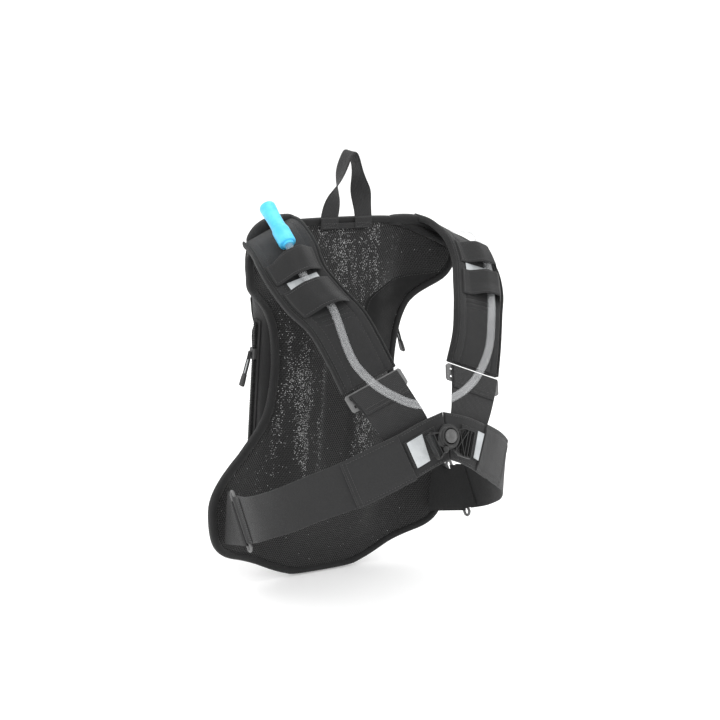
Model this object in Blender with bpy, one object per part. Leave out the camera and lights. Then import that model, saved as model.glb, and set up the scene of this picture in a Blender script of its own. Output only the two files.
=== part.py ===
"""Hydration pack: padded back panel, bladder bag, shoulder straps, hip belt with a centre buckle and a drink tube.

All dimensions are in millimetres and are turned into metres when a mesh is made.
X points to the wearer's left, -Y to the wearer's front, +Z up.  Front views look along +Y.
"""
import math

import bmesh
import bpy
from mathutils import Matrix, Vector

MM = 0.001
GAP = 0.4

# Back panel
PANEL_THICK = 10.0
MESH_THICK = 1.2
BINDING_RADIUS = 4.6
# height above the lowest point, half width
PANEL_ROWS = [
    (4, 34), (8, 54), (16, 74), (27, 97), (36, 118), (46, 142), (58, 156), (76, 163), (104, 166),
    (122, 162), (138, 152), (152, 138), (166, 121), (188, 100), (216, 87), (262, 82), (306, 86),
    (332, 95), (346, 106), (358, 120), (370, 134), (384, 143), (396, 146), (405, 143), (414, 128),
    (424, 106), (432, 84), (438, 58),
]

# Bag behind the panel: corner points of the rim, half of the outline from bottom centre to top centre
BAG_RIM_Y = 12.6
BAG_WALL = 2.4
BAG_RIM = [(0, 34), (50, 36), (82, 52), (93, 96), (94, 150), (94, 240), (94, 318), (99, 352), (104, 385),
           (97, 412), (70, 426), (35, 430), (0, 431)]
BAG_DEPTH_LOW = 30.0
BAG_DEPTH_HIGH = 50.0

# Shoulder strap, wearer's left side: inner and outer edge of the outside face, from root to end
STRAP_INNER_LEFT = [(104, 6, 441), (106, -30, 440), (101, -68, 430.5), (93, -98, 410), (79, -123, 390),
                    (64, -148, 368), (52, -166, 340), (38, -177, 310)]
STRAP_INNER = [(70, 6, 445.6), (78, -30, 446), (84, -70, 432), (87, -98, 410), (78, -123, 390),
               (64, -148, 368), (52, -166, 340), (38, -177, 310)]
STRAP_OUTER = [(143, -14, 421), (150, -45, 417), (156, -74, 407), (155, -100, 391), (146, -124, 370),
               (130, -146, 350), (116, -166, 318), (104, -181, 287)]
STRAP_THICK = 8.0
UPPER_BAND = (2.2, 3.12)
LOWER_BAND = (3.46, 4.55)
BAND_THICK = 1.4
BAND_U = (0.10, 0.94)

# Lower strap webbing, from the slider down behind the belt
WEB_INNER = [(37, -179, 306), (27, -196, 284), (17, -211, 262), (9, -216, 244)]
WEB_OUTER = [(101, -183, 283), (86, -198, 262), (71, -209, 240), (62, -210, 226)]
WEB_THICK = 1.6

# Hip belt, wearer's left side: top and bottom edge of the outside face, from the ring to the front
BELT_TOP = [(155, -41, 132), (163, -75, 142), (164, -105, 154), (155, -138, 172), (139, -165, 191),
            (118, -191, 210), (90, -210, 230), (60, -221, 246)]
BELT_BOTTOM = [(155, -83, 87), (161, -108, 98), (158, -132, 111), (145, -158, 126), (126, -182, 144),
               (100, -205, 161), (69, -222, 180), (39, -235, 199)]
BELT_THICK = 2.2
SEAM_S = 5.15
FRONT_TOP = (0, -221, 267)
FRONT_BOTTOM = (0, -241, 218)

# Buckle
BUCKLE_CENTRE = Vector((-9, -241.5, 245))
BUCKLE_SCALE = 0.82
BUCKLE_LEAN = math.radians(21)
BUCKLE_SLOPE = math.radians(22)
BUTTON_RADIUS = 9.3
BUTTON_TRAVEL = 2.5

# Drink tube and bite valve
TUBE_RADIUS = 4.5
TUBE_U = {"left": 0.66, "right": 0.47}
TUBE_LIFT = 5.7
VALVE_AXIS = Vector((-0.01, 0.83, 0.56)).normalized()
VALVE_LENGTH = 61.0

# Side zips
ZIP_X = 97.7
ZIP_Y = 29.0
ZIP_TAPE = 16.0
ZIP_LOW = 140.0
ZIP_HIGH = 318.0
SLIDER_Z = {"left": 303.0, "right": 279.0}


def clear_scene():
    for obj in list(bpy.data.objects):
        bpy.data.objects.remove(obj, do_unlink=True)


def collection(name):
    found = bpy.data.collections.get(name)
    if found is None:
        found = bpy.data.collections.new(name)
        bpy.context.scene.collection.children.link(found)
    return found


MATERIALS = {}


def material(name, colour, roughness, metallic=0.0):
    if name not in MATERIALS:
        made = bpy.data.materials.new(name)
        made.use_nodes = True
        shader = made.node_tree.nodes["Principled BSDF"]
        shader.inputs["Base Color"].default_value = (*colour, 1.0)
        shader.inputs["Roughness"].default_value = roughness
        shader.inputs["Metallic"].default_value = metallic
        MATERIALS[name] = made
    return MATERIALS[name]


def own_material(obj, base):
    made = MATERIALS[base].copy()
    made.name = obj.name + "_" + base
    obj.data.materials.clear()
    obj.data.materials.append(made)


def smooth(t):
    t = max(0.0, min(1.0, t))
    return t * t * (3.0 - 2.0 * t)


def mirrored(points):
    return [(-p[0], p[1], p[2]) for p in points]


def catmull(points, t):
    """Point at t, counted in steps between the given points, on a smooth curve through all of them."""
    last = len(points) - 1
    k = min(max(int(math.floor(t)), 0), last - 1)
    f = t - k
    p1 = Vector(points[k])
    p2 = Vector(points[k + 1])
    p0 = Vector(points[k - 1]) if k > 0 else p1 * 2 - p2
    p3 = Vector(points[k + 2]) if k + 2 <= last else p2 * 2 - p1
    return 0.5 * (2 * p1 + (p2 - p0) * f + (2 * p0 - 5 * p1 + 4 * p2 - p3) * f * f
                  + (3 * p1 - p0 - 3 * p2 + p3) * f * f * f)


def smooth_line(points, per_step):
    steps = (len(points) - 1) * per_step
    return [catmull(points, i / per_step) for i in range(steps + 1)]


def even_line(points, spacing):
    """The smooth curve through the points, read at equal spacing."""
    fine = smooth_line(points, 24)
    total = sum((b - a).length for a, b in zip(fine, fine[1:]))
    count = max(2, round(total / spacing))
    step = total / count
    out = [fine[0]]
    walked = 0.0
    for a, b in zip(fine, fine[1:]):
        length = (b - a).length
        while len(out) < count and walked + length >= step * len(out) - 1e-9:
            f = (step * len(out) - walked) / length
            out.append(a.lerp(b, f))
        walked += length
    out.append(fine[-1])
    return out


def face_outwards(bm):
    bmesh.ops.recalc_face_normals(bm, faces=bm.faces)
    if bm.calc_volume(signed=True) < 0:
        bmesh.ops.reverse_faces(bm, faces=bm.faces)


def finish(name, verts, faces, base):
    mesh = bpy.data.meshes.new(name)
    mesh.from_pydata([Vector(v) * MM for v in verts], [], faces)
    bm = bmesh.new()
    bm.from_mesh(mesh)
    bmesh.ops.remove_doubles(bm, verts=bm.verts, dist=1e-6)
    face_outwards(bm)
    bm.to_mesh(mesh)
    bm.free()
    obj = bpy.data.objects.new(name, mesh)
    collection("hydration_pack").objects.link(obj)
    own_material(obj, base)
    return obj


def sheet_solid(name, low, high, base, wrap=False):
    """Closed solid between two grids of points with the same rows and columns."""
    rows = len(low)
    cols = len(low[0])
    verts = [p for row in low for p in row] + [p for row in high for p in row]
    top = rows * cols
    faces = []
    row_steps = rows if wrap else rows - 1
    for i in range(row_steps):
        n = (i + 1) % rows
        for j in range(cols - 1):
            a, b = i * cols + j, i * cols + j + 1
            c, d = n * cols + j + 1, n * cols + j
            faces += [(a, b, c), (a, c, d)]
            faces += [(top + c, top + b, top + a), (top + d, top + c, top + a)]
    for i in range(row_steps):
        n = (i + 1) % rows
        for j in (0, cols - 1):
            a, b = i * cols + j, n * cols + j
            faces.append((a, b, top + b, top + a))
    if not wrap:
        for i in (0, rows - 1):
            for j in range(cols - 1):
                a, b = i * cols + j, i * cols + j + 1
                faces.append((a, b, top + b, top + a))
    return finish(name, verts, faces, base)


def loft(name, rings, base):
    """Closed solid through rings of points, with a flat cap at each end."""
    count = len(rings[0])
    verts = [p for ring in rings for p in ring]
    faces = []
    for i in range(len(rings) - 1):
        for j in range(count):
            k = (j + 1) % count
            faces.append((i * count + j, i * count + k, (i + 1) * count + k, (i + 1) * count + j))
    faces.append(tuple(range(count)))
    faces.append(tuple(range((len(rings) - 1) * count, len(rings) * count)))
    return finish(name, verts, faces, base)


class Ribbon:
    """A curved face between two edge lines; u runs from the first edge to the second."""

    def __init__(self, edge_a, edge_b, outward):
        self.a = edge_a
        self.b = edge_b
        self.outward = outward

    def point(self, s, u):
        return catmull(self.a, s).lerp(catmull(self.b, s), u)

    def normal(self, s, u):
        last = len(self.a) - 1
        s0, s1 = max(s - 0.05, 0.0), min(s + 0.05, last)
        along = self.point(s1, u) - self.point(s0, u)
        across = self.point(s, 1.0) - self.point(s, 0.0)
        n = along.cross(across).normalized()
        return n if n.dot(Vector(self.outward)) > 0 else -n

    def off(self, s, u, height):
        return self.point(s, u) + self.normal(s, u) * height

    def width(self, s):
        return (self.point(s, 1.0) - self.point(s, 0.0)).length


def ribbon_solid(name, ribbon, s_range, u_range, steps, low, high, base, soft_edge=0.0):
    """Closed piece on a ribbon; low and high are heights over it, numbers or functions of (s, u)."""
    ns, nu = steps
    lows, highs = [], []
    for i in range(ns + 1):
        s = s_range[0] + (s_range[1] - s_range[0]) * i / ns
        low_row, high_row = [], []
        for j in range(nu + 1):
            f = j / nu
            if soft_edge:
                f = 0.5 - 0.5 * math.cos(math.pi * f)
            u = u_range[0] + (u_range[1] - u_range[0]) * f
            a = low(s, u) if callable(low) else low
            b = high(s, u) if callable(high) else high
            if soft_edge:
                pinch = soft_edge * (1.0 - math.sqrt(max(0.0, 1.0 - abs(2 * f - 1) ** 4)))
                a, b = a + pinch, b - pinch
            low_row.append(ribbon.off(s, u, a))
            high_row.append(ribbon.off(s, u, b))
        lows.append(low_row)
        highs.append(high_row)
    return sheet_solid(name, lows, highs, base)


def wire(name, points, radius, base, resolution=2, cyclic=False):
    curve = bpy.data.curves.new(name, "CURVE")
    curve.dimensions = "3D"
    curve.bevel_depth = radius * MM
    curve.bevel_resolution = resolution
    curve.render_resolution_u = 0
    curve.use_fill_caps = not cyclic
    spline = curve.splines.new("POLY")
    spline.points.add(len(points) - 1)
    for item, p in zip(spline.points, points):
        item.co = (*(Vector(p) * MM), 1.0)
    spline.use_cyclic_u = cyclic
    obj = bpy.data.objects.new(name, curve)
    collection("hydration_pack").objects.link(obj)
    own_material(obj, base)
    return obj


def frame_at(origin, axis, up=(0, 0, 1)):
    """Matrix whose Z runs along axis, for turned shapes."""
    z = Vector(axis).normalized()
    x = Vector(up).cross(z)
    if x.length < 1e-4:
        x = Vector((1, 0, 0)).cross(z)
    x.normalize()
    y = z.cross(x)
    m = Matrix((x, y, z)).transposed().to_4x4()
    m.translation = Vector(origin)
    return m


def turned(name, profile, frame, base, count=24):
    """Solid of revolution: profile is a closed list of (radius, height) points round a hollow or solid core."""
    hollow = min(r for r, _ in profile) > 0.01
    verts, faces = [], []
    n = len(profile)
    for j in range(count):
        angle = 2 * math.pi * j / count
        for r, h in profile:
            verts.append(frame @ Vector((r * math.cos(angle), r * math.sin(angle), h)))
    steps = n if hollow else n - 1
    for j in range(count):
        k = (j + 1) % count
        for i in range(steps):
            m = (i + 1) % n
            quad = (j * n + i, k * n + i, k * n + m, j * n + m)
            faces.append(quad)
    if hollow:
        return finish(name, verts, faces, base)
    mesh_faces = []
    for quad in faces:
        a, b, c, d = quad
        if profile[a % n][0] < 0.01:
            mesh_faces.append((a, c, d))
        elif profile[d % n][0] < 0.01:
            mesh_faces.append((a, b, c))
        else:
            mesh_faces.append(quad)
    return finish(name, verts, mesh_faces, base)


def prism(name, outline, holes, low, high, frame, base):
    """Plate from a 2-D outline with holes, between two heights along the frame's Z axis."""
    curve = bpy.data.curves.new(name + "_outline", "CURVE")
    curve.dimensions = "2D"
    curve.fill_mode = "BOTH"
    curve.extrude = 0.5 * (high - low)
    curve.render_resolution_u = 0
    for loop in [outline] + list(holes):
        spline = curve.splines.new("POLY")
        spline.points.add(len(loop) - 1)
        for item, p in zip(spline.points, loop):
            item.co = (p[0], p[1], 0.0, 1.0)
        spline.use_cyclic_u = True
    temp = bpy.data.objects.new(name + "_outline", curve)
    bpy.context.scene.collection.objects.link(temp)
    graph = bpy.context.evaluated_depsgraph_get()
    mesh = bpy.data.meshes.new_from_object(temp.evaluated_get(graph))
    bpy.data.objects.remove(temp, do_unlink=True)
    bm = bmesh.new()
    bm.from_mesh(mesh)
    bmesh.ops.remove_doubles(bm, verts=bm.verts, dist=1e-4)
    middle = 0.5 * (high + low)
    for v in bm.verts:
        v.co = (frame @ (v.co + Vector((0, 0, middle)))) * MM
    face_outwards(bm)
    bm.to_mesh(mesh)
    bm.free()
    mesh.name = name
    obj = bpy.data.objects.new(name, mesh)
    collection("hydration_pack").objects.link(obj)
    own_material(obj, base)
    return obj


def set_origin(obj, point):
    """Moves the object's origin onto a joint axis and keeps the shape in place."""
    offset = Vector(point) * MM
    obj.data.transform(Matrix.Translation(-offset))
    obj.location = offset


def arc(cx, cy, r, a0, a1, count):
    out = []
    for i in range(count + 1):
        a = math.radians(a0 + (a1 - a0) * i / count)
        out.append((cx + r * math.cos(a), cy + r * math.sin(a)))
    return out


def make_materials():
    material("mesh_fabric", (0.012, 0.012, 0.012), 0.95)
    material("black_fabric", (0.022, 0.022, 0.023), 0.85)
    material("black_webbing", (0.026, 0.026, 0.027), 0.8)
    material("elastic", (0.02, 0.02, 0.021), 0.85)
    material("foam", (0.05, 0.05, 0.05), 0.9)
    material("grey_reflective", (0.55, 0.57, 0.58), 0.35)
    material("buckle_plastic", (0.025, 0.026, 0.028), 0.4)
    material("button_plastic", (0.13, 0.13, 0.13), 0.3)
    material("slider_plastic", (0.16, 0.16, 0.17), 0.35)
    material("clear_tube", (0.75, 0.78, 0.8), 0.12)
    material("blue_valve", (0.09, 0.5, 0.85), 0.35)
    material("bladder_film", (0.3, 0.55, 0.75), 0.25)
    material("zip_metal", (0.05, 0.05, 0.052), 0.35, 0.6)


# ---- back panel -----------------------------------------------------------------------------------

def panel_y(x, z):
    """Front face of the back panel: flat padded middle, wings and yoke curving forward."""
    x = abs(x)
    bulge = smooth((82 - x) / 40) * smooth((z - 20) / 60) * smooth((432 - z) / 60)
    wing = smooth((x - 90) / 78) * smooth((210 - z) / 50)
    yoke = smooth((x - 82) / 64) * smooth((z - 318) / 60)
    return -10.0 * bulge - 16.0 * wing - 24.0 * yoke


def panel_rows(inset):
    """Rows of (height, half width) with the outline moved inwards by inset."""
    edge = [Vector((0, PANEL_ROWS[0][0]))] + [Vector((w, z)) for z, w in PANEL_ROWS]
    edge.append(Vector((0, PANEL_ROWS[-1][0] + 1)))
    rows = []
    for i in range(1, len(edge) - 1):
        along = (edge[i + 1] - edge[i - 1]).normalized()
        moved = edge[i] + Vector((-along.y, along.x)) * inset
        rows.append((moved.y, moved.x))
    return rows


def panel_layer(name, inset, front, back, base, columns=12):
    low, high = [], []
    for z, w in panel_rows(inset):
        xs = [w * math.sin(0.5 * math.pi * (2 * j / columns - 1)) * 0.5
              + w * (2 * j / columns - 1) * 0.5 for j in range(columns + 1)]
        low.append([(x, panel_y(x, z) + back, z) for x in xs])
        high.append([(x, panel_y(x, z) + front, z) for x in xs])
    return sheet_solid(name, low, high, base)


def build_panel():
    panel_layer("back_panel_foam", 8.5, MESH_THICK + GAP, PANEL_THICK, "foam")
    panel_layer("back_panel_mesh", 8.5, 0.0, MESH_THICK, "mesh_fabric")
    right = [(w, 0, z) for z, w in PANEL_ROWS]
    left = [(-w, 0, z) for z, w in reversed(PANEL_ROWS)]
    loop = right + left
    smooth_loop = []
    count = len(loop)
    extended = loop[-2:] + loop + loop[:3]
    for i in range(count):
        for half in (0.0, 0.5):
            smooth_loop.append(catmull(extended[i:i + 5], 2 + half))
    points = []
    for p in smooth_loop:
        points.append((p.x, panel_y(p.x, p.z) + 0.5 * PANEL_THICK, p.z))
    wire("panel_binding", points, BINDING_RADIUS, "black_fabric", resolution=1, cyclic=True)


# ---- bag and bladder ------------------------------------------------------------------------------

def bag_depth(z):
    return BAG_DEPTH_LOW + (BAG_DEPTH_HIGH - BAG_DEPTH_LOW) * smooth((z - 215) / 130)


def bag_outline(shrink):
    """Closed rim of the bag, moved inwards by shrink."""
    half = [catmull([(x, 0, z) for x, z in BAG_RIM], t * 0.5) for t in range(2 * (len(BAG_RIM) - 1) + 1)]
    loop = half + [Vector((-p.x, 0, p.z)) for p in reversed(half[1:-1])]
    out = []
    count = len(loop)
    for i, p in enumerate(loop):
        tangent = loop[(i + 1) % count] - loop[i - 1]
        inward = Vector((-tangent.z, 0, tangent.x)).normalized()
        out.append(p + inward * shrink)
    return out


BAG_PROFILE = [(0.0, 0.0), (0.0, 0.45), (2.0, 0.72), (8.0, 0.92), (20.0, 1.0), (40.0, 1.0), (70.0, 1.0)]


def bag_ring(extra, inset, fraction, wall):
    ring = []
    for p in bag_outline(inset + extra):
        depth = bag_depth(p.z) - wall
        ring.append((p.x, BAG_RIM_Y + depth * fraction, p.z))
    return ring


def build_bag():
    outer = [bag_ring(0.0, inset, fraction, 0.0) for inset, fraction in reversed(BAG_PROFILE)]
    inner = [bag_ring(BAG_WALL, inset, fraction, BAG_WALL) for inset, fraction in BAG_PROFILE]
    loft("bag_shell", outer + inner, "black_fabric")


def bladder_ring(inset, fraction):
    ring = []
    for p in bag_outline(20.0 + inset):
        back = BAG_RIM_Y + bag_depth(p.z) - 17.0
        front = BAG_RIM_Y + 1.5
        ring.append((p.x, front + (back - front) * fraction, p.z))
    return ring


def build_bladder():
    rings = [bladder_ring(6, 0.0), bladder_ring(1.5, 0.2), bladder_ring(0, 0.5), bladder_ring(1.5, 0.8),
             bladder_ring(6, 1.0)]
    loft("water_bladder", rings, "bladder_film")
    cap_y = BAG_RIM_Y + BAG_DEPTH_HIGH - 17.0
    cap_point = (0, cap_y + GAP, 368)
    frame = frame_at(cap_point, (0, 1, 0))
    cap = turned("bladder_cap", [(0, 0), (26, 0), (28, 1.5), (28, 7.5), (26.5, 9), (0, 9)], frame,
                 "blue_valve", count=28)
    set_origin(cap, cap_point)
    outlet = frame_at((44, HOSE_Y, 47.0), (1, 0, 0))
    turned("bladder_outlet", [(3.0, -8), (6.2, -8), (6.2, 1), (7.2, 2), (7.2, 5), (3.0, 5)], outlet,
           "blue_valve", count=16)


HOSE_Y = 20.0
PORT_POINT = Vector((103.4, 24, 398.4))
PORT_AXIS = Vector((0.97, 0.0, 0.25))


def build_port():
    frame = frame_at(PORT_POINT, PORT_AXIS)
    turned("hose_port", [(TUBE_RADIUS + GAP, 0), (9.5, 0), (9.5, 2.2), (6.8, 3.2), (6.8, 8), (TUBE_RADIUS + GAP, 8)],
           frame, "buckle_plastic", count=18)
    wall = [p for p in bag_outline(10.5) if p.x > 52 and p.z < 392]
    wall.sort(key=lambda p: p.z if p.z > 60 else 0.01 * p.x)
    route = [(x, HOSE_Y, z) for x, _, z in wall[::2]]
    wire("inner_hose", even_line(route, 20), TUBE_RADIUS, "clear_tube", resolution=1)


# ---- haul loop ------------------------------------------------------------------------------------

LOOP_Y = -2.0
LOOP_FOLD_Z = 444.0
LOOP_PATH = [(-23.5, LOOP_Y, 444.3), (-21, LOOP_Y, 458), (-16.5, LOOP_Y, 478), (-11, LOOP_Y, 500),
             (-4.8, LOOP_Y, 516.5), (0, LOOP_Y, 521.5), (4.8, LOOP_Y, 516.5), (11, LOOP_Y, 500),
             (16.5, LOOP_Y, 478), (21, LOOP_Y, 458), (23.5, LOOP_Y, 444.3)]
LOOP_WEB = 24.0
LOOP_THICK = 1.5


def build_haul_loop():
    """Webbing loop: its width lies front to back at the top and turns flat towards the panel at its feet."""
    path = smooth_line(LOOP_PATH, 3)
    low, high = [], []
    last = len(path) - 1
    for i, p in enumerate(path):
        a = path[max(i - 1, 0)]
        b = path[min(i + 1, last)]
        along = (b - a).normalized() if 0 < i < last else Vector((0, 0, 1 if i == 0 else -1))
        turn = smooth((p.z - 446) / 62)
        flat = Vector((1, 0, 0))
        deep = Vector((0, -1, 0))
        side = 1 if p.x > 0 else -1
        width_dir = (flat * side * (1 - turn) + deep * turn).normalized()
        width_dir = (width_dir - along * width_dir.dot(along)).normalized()
        normal = along.cross(width_dir).normalized()
        centre = p
        half = 0.5 * LOOP_WEB
        lo = [centre + width_dir * (w * half) - normal * 0.5 * LOOP_THICK for w in (-1, 0, 1)]
        hi = [centre + width_dir * (w * half) + normal * 0.5 * LOOP_THICK for w in (-1, 0, 1)]
        low.append(lo)
        high.append(hi)
    arch = sheet_solid("haul_loop", low, high, "black_webbing")
    set_origin(arch, (0, LOOP_Y, LOOP_FOLD_Z))
    outer, inner, foot, bar = 35.5, 11.5, 424.0, 432.0
    top = LOOP_FOLD_Z - 0.9
    outline = [(-outer, foot), (outer, foot), (outer, top), (inner, top), (inner, bar), (-inner, bar),
               (-inner, top), (-outer, top)]
    frame = Matrix((Vector((1, 0, 0)), Vector((0, 0, 1)), Vector((0, -1, 0)))).transposed().to_4x4()
    frame.translation = Vector((0, LOOP_Y, 0))
    prism("loop_anchor", outline, [], -0.5 * LOOP_THICK, 0.5 * LOOP_THICK, frame, "black_webbing")


# ---- straps ---------------------------------------------------------------------------------------

def tube_lift(side, s):
    """Height of the tube's centre over the strap; the valve end rises towards the mouth of its band."""
    if side == "left":
        return TUBE_LIFT
    return TUBE_LIFT + 3.4 * smooth((3.0 - s) / 0.75)


def tube_bump(strap, side):
    def height(s, u):
        across = (u - TUBE_U[side]) * strap.width(s)
        reach, fall = (17.0, 10.0) if side == "left" and across > 0 else (22.0, 12.0)
        mouth = 1.6 * smooth((s - 4.0) / 0.5)
        return GAP + (tube_lift(side, s) + TUBE_RADIUS + mouth) * smooth((reach - abs(across)) / fall)
    return height


def strap_ribbon(side):
    if side == "left":
        return Ribbon(STRAP_INNER_LEFT, STRAP_OUTER, (0, -0.6, 0.8))
    return Ribbon(mirrored(STRAP_INNER), mirrored(STRAP_OUTER), (0, -0.6, 0.8))


def belt_ribbon(side):
    top, bottom = (BELT_TOP, BELT_BOTTOM) if side == "left" else (mirrored(BELT_TOP), mirrored(BELT_BOTTOM))
    sign = 1 if side == "left" else -1
    return Ribbon(bottom, top, (sign * 0.8, -0.6, 0.1))


def front_ribbon(side):
    sign = 1 if side == "left" else -1
    top = [BELT_TOP[-2], BELT_TOP[-1], (30, -223, 259), FRONT_TOP]
    bottom = [BELT_BOTTOM[-2], BELT_BOTTOM[-1], (19, -239, 210), FRONT_BOTTOM]
    top = [(sign * x, y, z) for x, y, z in top]
    bottom = [(sign * x, y, z) for x, y, z in bottom]
    return Ribbon(bottom, top, (0, -0.9, 0.3))


def web_ribbon(side):
    if side == "left":
        return Ribbon(WEB_INNER, WEB_OUTER, (0, -0.8, 0.5))
    return Ribbon(mirrored(WEB_INNER), mirrored(WEB_OUTER), (0, -0.8, 0.5))


def build_strap(side):
    strap = strap_ribbon(side)

    def pad_low(s, u):
        return -(3.4 + (STRAP_THICK - 3.4) * smooth(s / 1.6))

    ribbon_solid("shoulder_pad_" + side, strap, (0.0, 7.0), (0.0, 1.0), (21, 6), pad_low, 0.0,
                 "black_fabric", soft_edge=1.2)
    bump = tube_bump(strap, side)

    def bump_top(s, u):
        return bump(s, u) + BAND_THICK

    ribbon_solid("strap_band_upper_" + side, strap, UPPER_BAND, BAND_U, (2, 16), bump, bump_top, "elastic")
    ribbon_solid("strap_band_lower_" + side, strap, LOWER_BAND, BAND_U, (3, 16), bump, bump_top, "elastic")
    ribbon_solid("reflective_strip_" + side, strap, (UPPER_BAND[1] + 0.08, LOWER_BAND[0] - 0.05), (0.22, 0.82),
                 (2, 2), 0.25, 0.65, "grey_reflective")
    web = web_ribbon(side)
    ribbon_solid("strap_webbing_" + side, web, (0.0, 3.0), (0.0, 1.0), (6, 2), 0.0, WEB_THICK, "black_webbing")
    build_slider(side, web)


def build_slider(side, web):
    """Three-bar slider lying under the webbing, its ends showing past the webbing's edges."""
    origin = web.off(0.28, 0.5, -2.6)
    across = (web.point(0.28, 1.0) - web.point(0.28, 0.0)).normalized()
    normal = web.normal(0.28, 0.5)
    along = normal.cross(across)
    frame = Matrix((across, along, normal)).transposed().to_4x4()
    frame.translation = origin
    half = 0.5 * web.width(0.3) + 5.0
    outline = [(-half, -8), (-half + 2, -10), (half - 2, -10), (half, -8), (half, 8), (half - 2, 10),
               (-half + 2, 10), (-half, 8)]
    inner = half - 4.0
    holes = [[(-inner, -6.4), (inner, -6.4), (inner, -2.8), (-inner, -2.8)],
             [(-inner, 2.8), (inner, 2.8), (inner, 6.4), (-inner, 6.4)]]
    prism("strap_slider_" + side, outline, holes, -1.5, 1.5, frame, "slider_plastic")


# ---- hip belt -------------------------------------------------------------------------------------

def build_belt(side):
    belt = belt_ribbon(side)
    front = front_ribbon(side)
    ribbon_solid("hip_belt_" + side, belt, (0.22, 5.9), (0.0, 1.0), (14, 2), -BELT_THICK, 0.0, "elastic")
    ribbon_solid("belt_panel_" + side, belt, (SEAM_S, 7.0), (-0.01, 1.01), (5, 4), GAP, 3.0, "black_fabric",
                 soft_edge=0.7)
    ribbon_solid("backing_pad_" + side, front, (0.06, 2.95), (0.0, 1.0), (7, 4), -4.0, -0.2, "black_fabric",
                 soft_edge=1.0)
    ribbon_solid("buckle_webbing_" + side, front, (1.06, 2.42 if side == "right" else 2.25), (0.22, 0.80),
                 (4, 2), GAP, 2.4, "black_webbing")
    ribbon_solid("reflective_patch_" + side, front, (1.16, 1.82) if side == "right" else (1.07, 1.42), (0.20, 0.82), (3, 2), 2.7, 3.3,
                 "grey_reflective")


def build_wing(side):
    sign = 1 if side == "left" else -1
    top = Vector((155 * sign, -40, 133))
    bottom = Vector((155 * sign, -84, 86))
    axis = (top - bottom).normalized()
    bar_start = bottom - axis * 5
    bar_end = top + axis * 5
    back = Vector((0, 5.8, -5.8)) + Vector((-1.0 * sign, 0, 0))
    loop = [bar_start, bar_end, bar_end + back, bar_start + back]
    rounded = []
    for i, p in enumerate(loop):
        before = loop[i - 1]
        after = loop[(i + 1) % 4]
        rounded.append(p + (before - p).normalized() * 2.5)
        rounded.append(p + (after - p).normalized() * 2.5)
    wire("wing_ring_" + side, rounded, 1.8, "slider_plastic", resolution=2, cyclic=True)
    edge_a = [(148 * sign, panel_y(148, 130) - 2.6, 130), (151.5 * sign, -27, 123), (153.1 * sign, -34.1, 120.1)]
    edge_b = [(148 * sign, panel_y(148, 66) - 2.6, 64), (151.5 * sign, -48, 72.5), (153.1 * sign, -72.7, 78.7)]
    tab = Ribbon(edge_a, edge_b, (sign, -0.3, 0))
    ribbon_solid("wing_tab_" + side, tab, (0.0, 2.0), (0.0, 1.0), (6, 3), -1.2, 1.2, "black_fabric")


# ---- buckle ---------------------------------------------------------------------------------------

def buckle_frame():
    normal = Vector((0, -math.cos(BUCKLE_LEAN), math.sin(BUCKLE_LEAN)))
    x = Vector((1, 0, 0))
    up = normal.cross(x)
    m = Matrix((x * BUCKLE_SCALE, up * BUCKLE_SCALE, normal)).transposed().to_4x4()
    m.translation = BUCKLE_CENTRE
    return m


def turned_points(points, angle):
    c, s = math.cos(angle), math.sin(angle)
    return [(x * c - y * s, x * s + y * c) for x, y in points]


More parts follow.
